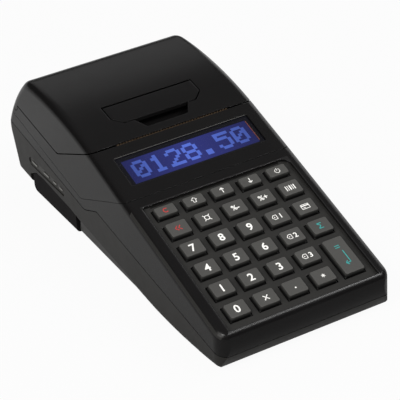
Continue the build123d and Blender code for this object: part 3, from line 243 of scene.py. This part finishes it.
# Zones of another finish: low end, high end and softness of both, in metres.
PANEL_COLOUR = (0.024, 0.0235, 0.0225)
PANEL_DEPTH = (-0.0026, -0.0012, 0.0001)
PANEL_Y = (-0.1005, -0.0265, 0.0001)
RIM_DEPTH = (-0.0012, 0.0003, 0.0001)
RIM_V = (-0.0723, 0.0055, 0.0002)
RIM_X = (-0.0384, 0.0384, 0.0002)
RIM_GLOSS = 0.5


def upper_case():
    """Satin black with a lighter sunk keypad panel and a glossier rim round it."""
    mat = moulded("upper_plastic", (0.0050, 0.0047, 0.0048), 0.25, grain=0.000006, edge=0.00035,
                  specular=0.15, seam_shade=True)
    tree = mat.node_tree
    coord = object_coord(tree)
    depth = along_deck(tree, coord, DECK_N)
    panel = zone(tree, (depth, *PANEL_DEPTH), (along(tree, coord, "Y"), *PANEL_Y))
    repaint(tree, panel, PANEL_COLOUR)
    rim = zone(tree, (depth, *RIM_DEPTH), (along_deck(tree, coord, DECK_V), *RIM_V), (along(tree, coord, "X"), *RIM_X))
    gloss = tree.nodes["Principled BSDF"].inputs["Specular IOR Level"]
    polish = add(tree, "ShaderNodeMath", operation="MAXIMUM")
    tree.links.new(ramp(tree, rim, 0.0, RIM_GLOSS), polish.inputs[0])
    tree.links.new(gloss.links[0].from_socket, polish.inputs[1])
    tree.links.new(polish.outputs[0], gloss)
    return mat


# Painted light: a lighter colour in the channel round the side contacts, against the shade in its groove.
CHANNEL_PAINTED_LIGHT = (0.045, 0.0445, 0.0425)
CHANNEL_X = (-0.0427, -0.0400, 0.00005)
CHANNEL_Y = (0.0430, 0.0805, 0.0003)
CHANNEL_Z = (0.0160, 0.0208, 0.0003)
WARM_TINT = (1.0, 0.99, 0.975, 1)


def lower_case():
    """Satin black-grey; the channel round the side contacts is painted lighter, painted light that offsets the shade
    falling in the groove.
    """
    mat = moulded("lower_plastic", (0.0122, 0.0117, 0.0109), 0.42, grain=0.000015, grain_scale=2000,
                  specular=0.2, seam_shade=True)
    tree = mat.node_tree
    coord = object_coord(tree)
    tree.nodes["Principled BSDF"].inputs["Specular Tint"].default_value = WARM_TINT
    # Painted light in the channel round the side contacts.
    wear_and_painted_light = zone(tree, (along(tree, coord, "X"), *CHANNEL_X), (along(tree, coord, "Y"), *CHANNEL_Y),
                (along(tree, coord, "Z"), *CHANNEL_Z))
    repaint(tree, wear_and_painted_light, CHANNEL_PAINTED_LIGHT)
    return mat


# Painted shade on the key sides: near black at the foot, fading out towards the crown.
KEY_FOOT_SHADE = (0.004, 0.004, 0.004)
KEY_FOOT_DEPTH, KEY_CROWN_DEPTH = -0.0012, 0.0005


def key_caps():
    """Grey key tops whose sides darken with painted shade towards the gap they stand in."""
    mat = moulded("key_plastic", (0.054, 0.053, 0.050), 0.5, grain=0.000012, edge=0.0004, spread=0.08, specular=0.3)
    tree = mat.node_tree
    share = add(tree, "ShaderNodeMapRange", in_1=KEY_FOOT_DEPTH, in_2=KEY_CROWN_DEPTH)
    tree.links.new(along_deck(tree, object_coord(tree), DECK_N), share.inputs[0])
    base = base_colour(tree)
    tree.links.new(mix_colour(tree, share.outputs[0], KEY_FOOT_SHADE, base.links[0].from_socket), base)
    return mat


def metal(name, colour, rough, axis=(1, 1, 1), fine=900):
    """Drawn or rolled metal: streaks along one axis and faint handling stains."""
    mat, tree, bsdf = new_material(name)
    coord = object_coord(tree)
    stretch = add(tree, "ShaderNodeVectorMath", operation="MULTIPLY")
    tree.links.new(coord, stretch.inputs[0])
    stretch.inputs[1].default_value = axis
    streak = noise(tree, stretch.outputs[0], scale=fine, detail=3, roughness=0.6)
    stain = noise(tree, coord, scale=90, detail=3, roughness=0.6)
    dark = tuple(c * 0.8 for c in colour)
    tree.links.new(mix_colour(tree, stain, dark, colour), bsdf.inputs["Base Color"])
    tree.links.new(ramp(tree, streak, rough - 0.08, rough + 0.1), bsdf.inputs["Roughness"])
    bsdf.inputs["Metallic"].default_value = 1.0
    relief = bump(tree, streak, strength=0.25, distance=0.00001, normal=soft_edges(tree, radius=0.00012))
    tree.links.new(relief, bsdf.inputs["Normal"])
    return mat


def rubber(name, colour, rough):
    """Matt rubber with a coarser grain."""
    return moulded(name, colour, rough, grain=0.00002, edge=0.0002, grain_scale=1500, spread=0.25, specular=0.3)


def circuit_board():
    """Solder mask over a faint copper pattern."""
    mat, tree, bsdf = new_material("circuit_board")
    coord = object_coord(tree)
    brick = add(tree, "ShaderNodeTexBrick", in_Scale=420, in_Mortar_Size=0.03)
    brick.inputs["Color1"].default_value = (0.012, 0.10, 0.04, 1)
    brick.inputs["Color2"].default_value = (0.015, 0.12, 0.05, 1)
    brick.inputs["Mortar"].default_value = (0.03, 0.2, 0.09, 1)
    tree.links.new(coord, brick.inputs["Vector"])
    tree.links.new(brick.outputs["Color"], bsdf.inputs["Base Color"])
    tree.links.new(ramp(tree, noise(tree, coord, scale=300), low=0.3, high=0.45), bsdf.inputs["Roughness"])
    tree.links.new(bump(tree, brick.outputs["Fac"], strength=0.3, distance=0.00002), bsdf.inputs["Normal"])
    return mat


def lens():
    """Clear acrylic with a light smoke tint."""
    mat, tree, bsdf = new_material("lens")
    coord = object_coord(tree)
    bsdf.inputs["Base Color"].default_value = (0.02, 0.02, 0.03, 1)
    bsdf.inputs["Alpha"].default_value = 0.22
    tree.links.new(ramp(tree, noise(tree, coord, scale=220, detail=3), low=0.04, high=0.09), bsdf.inputs["Roughness"])
    bsdf.inputs["IOR"].default_value = 1.49
    bsdf.inputs["Specular IOR Level"].default_value = 0.08
    mat.surface_render_method = "BLENDED"
    return mat


def wrap():
    """Shrink wrap over cells: glossy blue with soft wrinkles across."""
    mat, tree, bsdf = new_material("cell_wrap")
    coord = object_coord(tree)
    wave = add(tree, "ShaderNodeTexWave", in_Scale=60, in_Distortion=4.0, in_Detail=2.0)
    tree.links.new(coord, wave.inputs["Vector"])
    blue = mix_colour(tree, wave.outputs["Fac"], (0.02, 0.05, 0.16), (0.03, 0.07, 0.22))
    tree.links.new(blue, bsdf.inputs["Base Color"])
    bsdf.inputs["Roughness"].default_value = 0.3
    tree.links.new(bump(tree, wave.outputs["Fac"], strength=0.3, distance=0.00006), bsdf.inputs["Normal"])
    return mat


GLOW_HALF_WIDTH = 0.033
GLOW_MIDDLE, GLOW_END = 1.25, 0.55


def glow(name, colour, cell=0.0):
    """Back-lit display layer, brighter in the middle; cell is the pitch of its grain in metres."""
    mat, tree, bsdf = new_material(name)
    coord = object_coord(tree)
    uneven = noise(tree, coord, scale=40)
    dim = tuple(c * 0.8 for c in colour)
    shade = mix_colour(tree, uneven, dim, colour)
    spread = add(tree, "ShaderNodeMath", operation="ABSOLUTE")
    tree.links.new(along(tree, coord, "X"), spread.inputs[0])
    level = add(tree, "ShaderNodeMapRange", in_1=0.0, in_2=GLOW_HALF_WIDTH, in_3=GLOW_MIDDLE, in_4=GLOW_END)
    tree.links.new(spread.outputs[0], level.inputs[0])
    tree.links.new(level.outputs[0], bsdf.inputs["Emission Strength"])
    bsdf.inputs["Base Color"].default_value = (*[c * 0.15 for c in colour], 1)
    bsdf.inputs["Specular IOR Level"].default_value = 0.1
    bsdf.inputs["Roughness"].default_value = 0.35
    tree.links.new(shade, bsdf.inputs["Emission Color"])
    if cell:
        check = add(tree, "ShaderNodeTexChecker", in_Scale=1 / cell)
        tree.links.new(coord, check.inputs["Vector"])
        tree.links.new(bump(tree, check.outputs["Fac"], strength=0.05, distance=0.00002), bsdf.inputs["Normal"])
    return mat


def ink_and_painted_light(name, colour, rough=0.5, specular=DEFAULT_GLOSS):
    """Flat, slightly uneven colour: printed ink for legends and the display border, also the painted highlight and
    reflection strips.
    """
    mat, tree, bsdf = new_material(name)
    coord = object_coord(tree)
    wear_and_painted_light = noise(tree, coord, scale=900)
    tree.links.new(mix_colour(tree, wear_and_painted_light, tuple(c * 0.85 for c in colour), colour), bsdf.inputs["Base Color"])
    bsdf.inputs["Roughness"].default_value = rough
    bsdf.inputs["Specular IOR Level"].default_value = specular
    return mat


MATERIALS = {
    "upper_plastic": upper_case(),
    "lower_plastic": lower_case(),
    "key_plastic": key_caps(),
    "lens": lens(),
    "display": moulded("display_bezel", (0.008, 0.008, 0.009), 0.35, grain=0.000008, edge=0.0002),
    "silicone": rubber("silicone", (0.25, 0.25, 0.24), 0.6),
    "circuit_board": circuit_board(),
    "socket_plastic": moulded("socket_plastic", (0.012, 0.012, 0.012), 0.45, edge=0.0002),
    "inner_plastic": moulded("inner_plastic", (0.02, 0.02, 0.02), 0.55, grain=0.00002, edge=0.0002),
    "sheet_steel": metal("sheet_steel", (0.55, 0.55, 0.56), 0.32, (1, 6, 1), 500),
    "head_alloy": metal("head_alloy", (0.6, 0.6, 0.61), 0.4, (6, 1, 1), 400),
    "bright_steel": metal("bright_steel", (0.62, 0.62, 0.63), 0.25, (1, 8, 8), 700),
    "roller_rubber": rubber("roller_rubber", (0.02, 0.02, 0.02), 0.65),
    "foot_rubber": rubber("foot_rubber", (0.015, 0.015, 0.015), 0.8),
    "gear_plastic": moulded("gear_plastic", (0.7, 0.69, 0.64), 0.45, edge=0.0001, spread=0.05),
    "cell_wrap": wrap(),
}
OWN = {
    "battery_cover": moulded("pack_plastic", (0.0085, 0.0078, 0.0082), 0.6, grain=0.00003, edge=0.0004, specular=0.04),
    "tear_bar": metal("tear_steel", (0.13, 0.088, 0.055), 0.6, (1, 6, 1), 500),
}
for entry in frame["record"]["subparts"]:
    node = nodes[entry["node"]]
    node.data.materials.clear()
    node.data.materials.append(OWN.get(entry["node"], MATERIALS[entry["material_slot"]]))

LEGEND_WHITE = ink_and_painted_light("legend_white", (0.86, 0.85, 0.82))
LEGEND_RED = ink_and_painted_light("legend_red", (0.44, 0.025, 0.022))
LEGEND_TEAL = ink_and_painted_light("legend_teal", (0.02, 0.32, 0.31))
LCD_BACK = glow("display_backlight", (0.025, 0.031, 0.18), 0.0004)
# Painted highlight: a light grey strip along the window's top edge.
WINDOW_EDGE_HIGHLIGHT = ink_and_painted_light("window_edge_painted_highlight", (0.11, 0.108, 0.104), 0.3)
# Painted reflection: a reddish strip at the display's right end, where the window recess's right wall is seen
# reflected.
LCD_EDGE_REFLECTION = ink_and_painted_light("display_edge_painted_reflection", (0.17, 0.05, 0.045), 0.3)
LCD_MASK = ink_and_painted_light("display_border_ink", (0.004, 0.004, 0.004), 0.3, 0.1)
LCD_DOT = glow("display_dots", (0.095, 0.165, 0.66))


# ================================================================ new pieces
def mesh_object(name, verts, faces, material, body):
    """New mesh that rides on a body and wears the given material."""
    mesh = bpy.data.meshes.new(name)
    mesh.from_pydata([tuple(v) for v in verts], [], faces)
    mesh.materials.append(material)
    obj = bpy.data.objects.new(name, mesh)
    scene.collection.objects.link(obj)
    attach(obj, body)


def corners(box):
    """Corners (u, v) of a box u0, u1, v0, v1."""
    u0, u1, v0, v1 = box
    return [(u0, v0), (u1, v0), (u1, v1), (u0, v1)]


def deck_plate(name, box, w, material):
    """Thin rectangle over the deck."""
    mesh_object(name, on_deck(corners(box), w), [(0, 1, 2, 3)], material, "case")


# ================================================================ key legends
class Drawing:
    """Flat strokes and polygons in a key's own plane (mm)."""

    def __init__(self):
        self.polygons = []

    def poly(self, points):
        self.polygons.append([Vector(p) for p in points])

    def bar(self, a, b, width):
        a, b = Vector(a), Vector(b)
        side = (b - a).orthogonal().normalized() * width / 2
        self.poly([a - side, b - side, b + side, a + side])

    def path(self, points, width):
        for a, b in zip(points, points[1:]):
            self.bar(a, b, width)

    def arc(self, centre, radius, start, end, width, steps=18):
        c = Vector(centre)
        inner, outer = radius - width / 2, radius + width / 2
        for i in range(steps):
            t0 = math.radians(start + (end - start) * i / steps)
            t1 = math.radians(start + (end - start) * (i + 1) / steps)
            d0 = Vector((math.cos(t0), math.sin(t0)))
            d1 = Vector((math.cos(t1), math.sin(t1)))
            self.poly([c + d0 * inner, c + d0 * outer, c + d1 * outer, c + d1 * inner])

    def box(self, x0, x1, y0, y1, width):
        self.path([(x0, y0), (x1, y0), (x1, y1), (x0, y1), (x0, y0)], width)

    def dot(self, centre, radius, sides=16):
        c = Vector(centre)
        turn = 2 * math.pi / sides
        self.poly([c + Vector((math.cos(i * turn), math.sin(i * turn))) * radius for i in range(sides)])


def glyph(text, size):
    """Built-in font characters as flat polygons, centred."""
    curve = bpy.data.curves.new("glyph", "FONT")
    curve.body = text
    curve.size = size
    curve.align_x = "CENTER"
    curve.resolution_u = 4
    curve.offset = size * 0.02
    holder = bpy.data.objects.new("glyph", curve)
    scene.collection.objects.link(holder)
    bpy.context.view_layer.update()
    mesh = bpy.data.meshes.new_from_object(holder.evaluated_get(bpy.context.evaluated_depsgraph_get()))
    points = [v.co.to_2d() for v in mesh.vertices]
    faces = [tuple(f.vertices) for f in mesh.polygons]
    bpy.data.objects.remove(holder)
    bpy.data.meshes.remove(mesh)
    bpy.data.curves.remove(curve)
    low = Vector((min(p.x for p in points), min(p.y for p in points)))
    high = Vector((max(p.x for p in points), max(p.y for p in points)))
    middle = (low + high) / 2
    return [[points[i] - middle for i in f] for f in faces]


def legend(name, drawing, u, v, body, material):
    """One key's legend as a mesh that rides on the key."""
    verts, faces = [], []
    for polygon in drawing.polygons:
        faces.append(tuple(range(len(verts), len(verts) + len(polygon))))
        verts += on_deck([(u + p.x, v + p.y) for p in polygon], KEY_TOP_W + INK_W)
    mesh_object(name, verts, faces, material, body)


def draw_text(text, size):
    d = Drawing()
    for polygon in glyph(text, size):
        d.poly(polygon)
    return d


def draw_clear():
    d = Drawing()
    d.arc((0, 0), 0.95, 45, 315, 0.42)
    return d


def draw_shift():
    d = Drawing()
    head = [(-1.2, 0.1), (0, 1.3), (1.2, 0.1)]
    stem = [(0.55, 0.1), (0.55, -1.1), (-0.55, -1.1), (-0.55, 0.1)]
    d.path(head + stem + head[:1], 0.26)
    return d


def draw_arrow(sign):
    d = Drawing()
    d.bar((0, -1.3 * sign), (0, 0.9 * sign), 0.34)
    d.path([(-0.85, 0.35 * sign), (0, 1.25 * sign), (0.85, 0.35 * sign)], 0.34)
    return d


def draw_power():
    d = Drawing()
    d.arc((0, -0.1), 1.05, 125, 415, 0.28)
    d.bar((0, 0.1), (0, 1.35), 0.28)
    return d


def draw_void():
    """Two arrow heads pointing back."""
    d = Drawing()
    for x in (-0.75, 0.65):
        d.path([(x + 0.55, 1.1), (x - 0.55, 0), (x + 0.55, -1.1)], 0.38)
    return d


def draw_price():
    """The general currency sign."""
    d = Drawing()
    d.arc((0, 0), 1.0, 0, 360, 0.36)
    for sx in (-1, 1):
        for sy in (-1, 1):
            d.bar((0.7 * sx, 0.7 * sy), (1.45 * sx, 1.45 * sy), 0.36)
    return d


def draw_item():
    """A short bar pattern."""
    d = Drawing()
    x = -2.1
    for width, gap in ((0.45, 0.5), (0.3, 0.5), (0.6, 0.5), (0.3, 0.5), (0.45, 0.0)):
        d.bar((x + width / 2, -1.25), (x + width / 2, 1.25), width)
        x += width + gap
    return d


def draw_card():
    """A payment card."""
    d = Drawing()
    d.box(-1.7, 1.7, -1.1, 1.1, 0.3)
    d.bar((-1.7, 0.45), (1.7, 0.45), 0.5)
    d.bar((-1.1, -0.5), (0.0, -0.5), 0.3)
    return d


DEPT_SIZE, DEPT_SHIFT = 3.3, 1.35


def draw_dept(number):
    """A price tag with the department's number beside it."""
    d = Drawing()
    d.path([(-2.4, 0), (-1.6, 1.05), (-0.35, 1.05), (-0.35, -1.05), (-1.6, -1.05), (-2.4, 0)], 0.28)
    d.dot((-1.35, 0), 0.25, 10)
    for polygon in glyph(number, DEPT_SIZE):
        d.poly([(p.x + DEPT_SHIFT, p.y) for p in polygon])
    return d


def draw_sigma():
    d = Drawing()
    d.path([(1.0, 1.25), (-1.0, 1.25), (0.25, 0), (-1.0, -1.25), (1.0, -1.25)], 0.36)
    return d


def draw_total():
    """Equals sign over a return arrow, along the tall key."""
    d = Drawing()
    for y in (5.6, 4.5):
        d.bar((-1.2, y), (1.2, y), 0.4)
    d.path([(1.1, 2.4), (1.1, -4.6), (-1.0, -4.6)], 0.42)
    d.path([(-0.1, -3.5), (-1.25, -4.6), (-0.1, -5.7)], 0.42)
    return d


def draw_star():
    d = Drawing()
    for i in range(3):
        a = math.radians(90 + 60 * i)
        r = Vector((math.cos(a), math.sin(a))) * 0.85
        d.bar(-r, r, 0.3)
    return d


def draw_times():
    d = Drawing()
    d.bar((-1.0, -1.1), (1.0, 1.1), 0.42)
    d.bar((-1.0, 1.1), (1.0, -1.1), 0.42)
    return d


def draw_point():
    d = Drawing()
    d.dot((0, -0.6), 0.36)
    return d


SYMBOL_SCALE = 1.15
DIGIT_SIZE = 5.6
PERCENT_SIZE = 3.3
MIDDLE_COL = 2
LEGENDS = [
    [("clear", draw_clear(), LEGEND_RED), ("shift", draw_shift(), LEGEND_WHITE), ("up", draw_arrow(1), LEGEND_WHITE),
     ("down", draw_arrow(-1), LEGEND_WHITE), ("power", draw_power(), LEGEND_WHITE)],
    [("void", draw_void(), LEGEND_RED), ("price", draw_price(), LEGEND_WHITE),
     ("minus_percent", draw_text("%-", PERCENT_SIZE), LEGEND_WHITE),
     ("plus_percent", draw_text("%+", PERCENT_SIZE), LEGEND_WHITE), ("item", draw_item(), LEGEND_WHITE)],
    [("7", None, LEGEND_WHITE), ("8", None, LEGEND_WHITE), ("9", None, LEGEND_WHITE),
     ("dept_1", draw_dept("1"), LEGEND_WHITE), ("payment", draw_card(), LEGEND_WHITE)],
    [("4", None, LEGEND_WHITE), ("5", None, LEGEND_WHITE), ("6", None, LEGEND_WHITE),
     ("dept_2", draw_dept("2"), LEGEND_WHITE), ("subtotal", draw_sigma(), LEGEND_TEAL)],
    [("1", None, LEGEND_WHITE), ("2", None, LEGEND_WHITE), ("3", None, LEGEND_WHITE),
     ("dept_3", draw_dept("3"), LEGEND_WHITE), ("total", draw_total(), LEGEND_TEAL)],
    [("0", None, LEGEND_WHITE), ("times", draw_times(), LEGEND_WHITE), ("point", draw_point(), LEGEND_WHITE),
     ("star", draw_star(), LEGEND_WHITE)],
]
for row, entries in enumerate(LEGENDS):
    for col, (key, drawing, material) in enumerate(entries):
        u = (col - MIDDLE_COL) * KEY_PITCH_X
        v = KEY_ROW0_V if row == 0 else KEY_ROW1_V - (row - 1) * KEY_PITCH_Y
        if key == "total":
            v -= KEY_PITCH_Y / 2
        if drawing is None:
            drawing = draw_text(key, DIGIT_SIZE)
        elif key != "total":
            drawing.polygons = [[p * SYMBOL_SCALE for p in polygon] for polygon in drawing.polygons]
        legend("legend_" + key, drawing, u, v, f"key_{key}_body", material)


# ================================================================ contacts in the channel on the left side
CONTACT_X = -42.74
CONTACT_Z = 18.4
CONTACT_HALF_H = 0.5
CONTACTS = [(75.3, 5.4), (62.8, 5.4), (53.5, 3.2), (47.1, 3.4)]
CONTACT_PLATE = metal("contact_plate", (0.34, 0.335, 0.32), 0.6)
for i, (y, length) in enumerate(CONTACTS):
    y0, y1 = y - length / 2, y + length / 2
    z0, z1 = CONTACT_Z - CONTACT_HALF_H, CONTACT_Z + CONTACT_HALF_H
    verts = [Vector((CONTACT_X, *end)) * MM for end in ((y0, z1), (y1, z1), (y1, z0), (y0, z0))]
    mesh_object(f"contact_plate_{i + 1}", verts, [(0, 1, 2, 3)], CONTACT_PLATE, "case")


# ================================================================ display
LCD_W = -1.0
LCD_BOX = (-32.45, 32.45, 19.3, 33.9)
MASK_W = -0.9
MASK_BOX = (-34.6, 34.6, 18.4, 36.2)
# Painted reflection strip at the display's right end.
EDGE_REFLECTION_W = -0.8
EDGE_REFLECTION_BOX = (32.45, 32.9, 20.2, 33.3)
# Painted highlight strip along the top edge of the display window.
WINDOW_EDGE_W = -0.25
WINDOW_EDGE_BOX = (-35.0, 34.8, 36.3, 36.55)
AMOUNT = "0128.50"
DOT_W = LCD_W + 0.05
DOT_PITCH = 1.44
DOT_SIDE = DOT_PITCH * 1.2
DOT_COLS, DOT_ROWS = 5, 7
CELL_COLS = DOT_COLS + 1
DIGITS = {
    "0": "01110100011001110101110011000101110", "1": "00100011000010000100001000010001110",
    "2": "01110100010000100010001000100011111", "5": "11111100001111000001000011000101110",
    "8": "01110100011000101110100011000101110", ".": "00000000000000000000000000110001100",
}


def display_border():
    verts = on_deck(corners(MASK_BOX) + corners(LCD_BOX), MASK_W)
    faces = [(i, (i + 1) % 4, (i + 1) % 4 + 4, i + 4) for i in range(4)]
    mesh_object("display_border", verts, faces, LCD_MASK, "case")


def display_digits():
    """The amount as dots, centred on the display."""
    left = -(len(AMOUNT) * CELL_COLS - 1) * DOT_PITCH / 2
    top = (LCD_BOX[2] + LCD_BOX[3]) / 2 + DOT_ROWS / 2 * DOT_PITCH
    points, faces = [], []
    for i, char in enumerate(AMOUNT):
        for k, bit in enumerate(DIGITS[char]):
            if bit == "1":
                u = left + (i * CELL_COLS + k % DOT_COLS) * DOT_PITCH
                v = top - (k // DOT_COLS + 1) * DOT_PITCH
                faces.append(tuple(range(len(points), len(points) + 4)))
                points += corners((u, u + DOT_SIDE, v, v + DOT_SIDE))
    mesh_object("display_digits", on_deck(points, DOT_W), faces, LCD_DOT, "case")


deck_plate("display_panel", LCD_BOX, LCD_W, LCD_BACK)
display_border()
deck_plate("display_edge", EDGE_REFLECTION_BOX, EDGE_REFLECTION_W, LCD_EDGE_REFLECTION)
deck_plate("window_edge_painted_highlight", WINDOW_EDGE_BOX, WINDOW_EDGE_W, WINDOW_EDGE_HIGHLIGHT)
display_digits()


# ================================================================ floor, light, camera
FLOOR_HALF = 6.0
FLOOR_Z = -0.0002
FLOOR_GREY = (0.4, 0.4, 0.4, 1)
FLOOR_WHITE_SEEN = 0.95
FALL_DIRECTION = (0.6, -0.8, 0.0)
FALL_START, FALL_END = -0.08, 0.10
FALL_LIGHT, FALL_DARK = 0.34, 0.06


def floor():
    """Floor that takes the shadow, looks white, and is clear from below; its reflection fades to the front right."""
    verts = [(-FLOOR_HALF, -FLOOR_HALF, 0), (FLOOR_HALF, -FLOOR_HALF, 0),
             (FLOOR_HALF, FLOOR_HALF, 0), (-FLOOR_HALF, FLOOR_HALF, 0)]
    mesh = bpy.data.meshes.new("floor")
    mesh.from_pydata(verts, [], [(0, 1, 2, 3)])
    obj = bpy.data.objects.new("floor", mesh)
    scene.collection.objects.link(obj)
    obj.location.z = FLOOR_Z
    mat = bpy.data.materials.new("floor")
    mat.use_nodes = True
    tree = mat.node_tree
    tree.nodes.clear()
    out = add(tree, "ShaderNodeOutputMaterial")
    diffuse = add(tree, "ShaderNodeBsdfDiffuse", in_0=FLOOR_GREY)
    white = add(tree, "ShaderNodeEmission", in_Strength=1.0)
    place = add(tree, "ShaderNodeVectorMath", operation="DOT_PRODUCT", in_1=FALL_DIRECTION)
    tree.links.new(object_coord(tree), place.inputs[0])
    fall = add(tree, "ShaderNodeMapRange", in_1=FALL_START, in_2=FALL_END, in_3=FALL_LIGHT, in_4=FALL_DARK)
    tree.links.new(place.outputs["Value"], fall.inputs[0])
    top = mix_shader(tree, white_share(tree, FLOOR_WHITE_SEEN, fall.outputs[0]), diffuse, white)
    side = add(tree, "ShaderNodeNewGeometry")
    clear = add(tree, "ShaderNodeBsdfTransparent")
    open_below = mix_shader(tree, side.outputs["Backfacing"], top, clear)
    tree.links.new(open_below.outputs[0], out.inputs[0])
    mesh.materials.append(mat)


def mix_shader(tree, share, first, second):
    """Mix node of two shader nodes; share is how much of the second."""
    mix = add(tree, "ShaderNodeMixShader")
    tree.links.new(share, mix.inputs[0])
    tree.links.new(first.outputs[0], mix.inputs[1])
    tree.links.new(second.outputs[0], mix.inputs[2])
    return mix


def white_share(tree, direct, reflected):
    """A number for camera rays, and a socket for reflected and transmitted ones."""
    path = add(tree, "ShaderNodeLightPath")
    total = add(tree, "ShaderNodeMath", operation="MULTIPLY", in_1=direct)
    tree.links.new(path.outputs["Is Camera Ray"], total.inputs[0])
    for name in ("Is Glossy Ray", "Is Transmission Ray"):
        part = add(tree, "ShaderNodeMath", operation="MULTIPLY")
        tree.links.new(path.outputs[name], part.inputs[0])
        tree.links.new(reflected, part.inputs[1])
        both = add(tree, "ShaderNodeMath", operation="MAXIMUM")
        tree.links.new(total.outputs[0], both.inputs[0])
        tree.links.new(part.outputs[0], both.inputs[1])
        total = both
    return total.outputs[0]


ROOM_LOW, ROOM_HIGH = 0.06, 0.35
ROOM_START, ROOM_END = 0.5, 0.9


def world():
    """White for the camera, a dim room that is lighter overhead for everything else."""
    w = bpy.data.worlds.new("studio")
    scene.world = w
    w.use_nodes = True
    tree = w.node_tree
    tree.nodes.clear()
    out = add(tree, "ShaderNodeOutputWorld")
    room = add(tree, "ShaderNodeBackground", in_Color=(1, 1, 1, 1))
    white = add(tree, "ShaderNodeBackground", in_Color=(1, 1, 1, 1), in_Strength=1.0)
    height = add(tree, "ShaderNodeMapRange", in_1=ROOM_START, in_2=ROOM_END, in_3=ROOM_LOW, in_4=ROOM_HIGH)
    up = along(tree, add(tree, "ShaderNodeTexCoord").outputs["Generated"], "Z")
    tree.links.new(up, height.inputs[0])
    tree.links.new(height.outputs[0], room.inputs["Strength"])
    path = add(tree, "ShaderNodeLightPath")
    blend = mix_shader(tree, path.outputs["Is Camera Ray"], room, white)
    tree.links.new(blend.outputs[0], out.inputs[0])


def lamp(name, place, target, size, power, colour=(1, 1, 1)):
    """Rectangular lamp of a size (m), aimed at a target."""
    data = bpy.data.lights.new(name, "AREA")
    data.color = colour
    data.shape = "RECTANGLE"
    data.size, data.size_y = size
    data.energy = power
    obj = bpy.data.objects.new(name, data)
    scene.collection.objects.link(obj)
    obj.location = place
    obj.rotation_mode = "QUATERNION"
    obj.rotation_quaternion = (Vector(target) - Vector(place)).to_track_quat("-Z", "Y")


SENSOR_MM = 36.0
FOCAL_PX = 1900
IMAGE_PX = 400
CAMERA_AXES = ((0.86243, -0.503265, -0.054213), (0.306473, 0.433929, 0.847219), (-0.402851, -0.747282, 0.52847))
CAMERA_PLACE = (-350.676, -662.366, 487.1)


def camera():
    """The photo's camera, recovered from the key grid and the body's edges."""
    data = bpy.data.cameras.new("camera")
    data.sensor_width = SENSOR_MM
    data.lens = SENSOR_MM * FOCAL_PX / IMAGE_PX
    data.clip_start = 0.05
    data.clip_end = 50
    obj = bpy.data.objects.new("camera", data)
    scene.collection.objects.link(obj)
    m = Matrix.Identity(4)
    for i, axis in enumerate(CAMERA_AXES):
        m.col[i][:3] = axis
    m.translation = Vector(CAMERA_PLACE) * MM
    obj.matrix_world = m
    scene.camera = obj


floor()
world()
lamp("left", (-1.1, -0.4, 0.8), (0, 0, 0.03), (0.9, 0.9), 12.3, (1.0, 0.985, 0.95))
lamp("corner", (-0.75, -0.55, 0.92), (0, -0.03, 0.03), (0.16, 0.16), 5.0)
lamp("front", (0.52, -0.67, 0.98), (0, -0.03, 0.03), (1.5, 0.10), 12.0)
lamp("right", (1.0, 0.56, 0.8), (0, 0, 0.04), (0.22, 0.22), 0.4)
lamp("rear", (0.35, 1.5, 0.9), (0, 0, 0.03), (1.2, 0.7), 1.8)
lamp("fill", (1.5, 0.9, 0.5), (0, 0, 0.03), (1.2, 1.2), 7.0)
camera()
scene.view_settings.view_transform = "Standard"
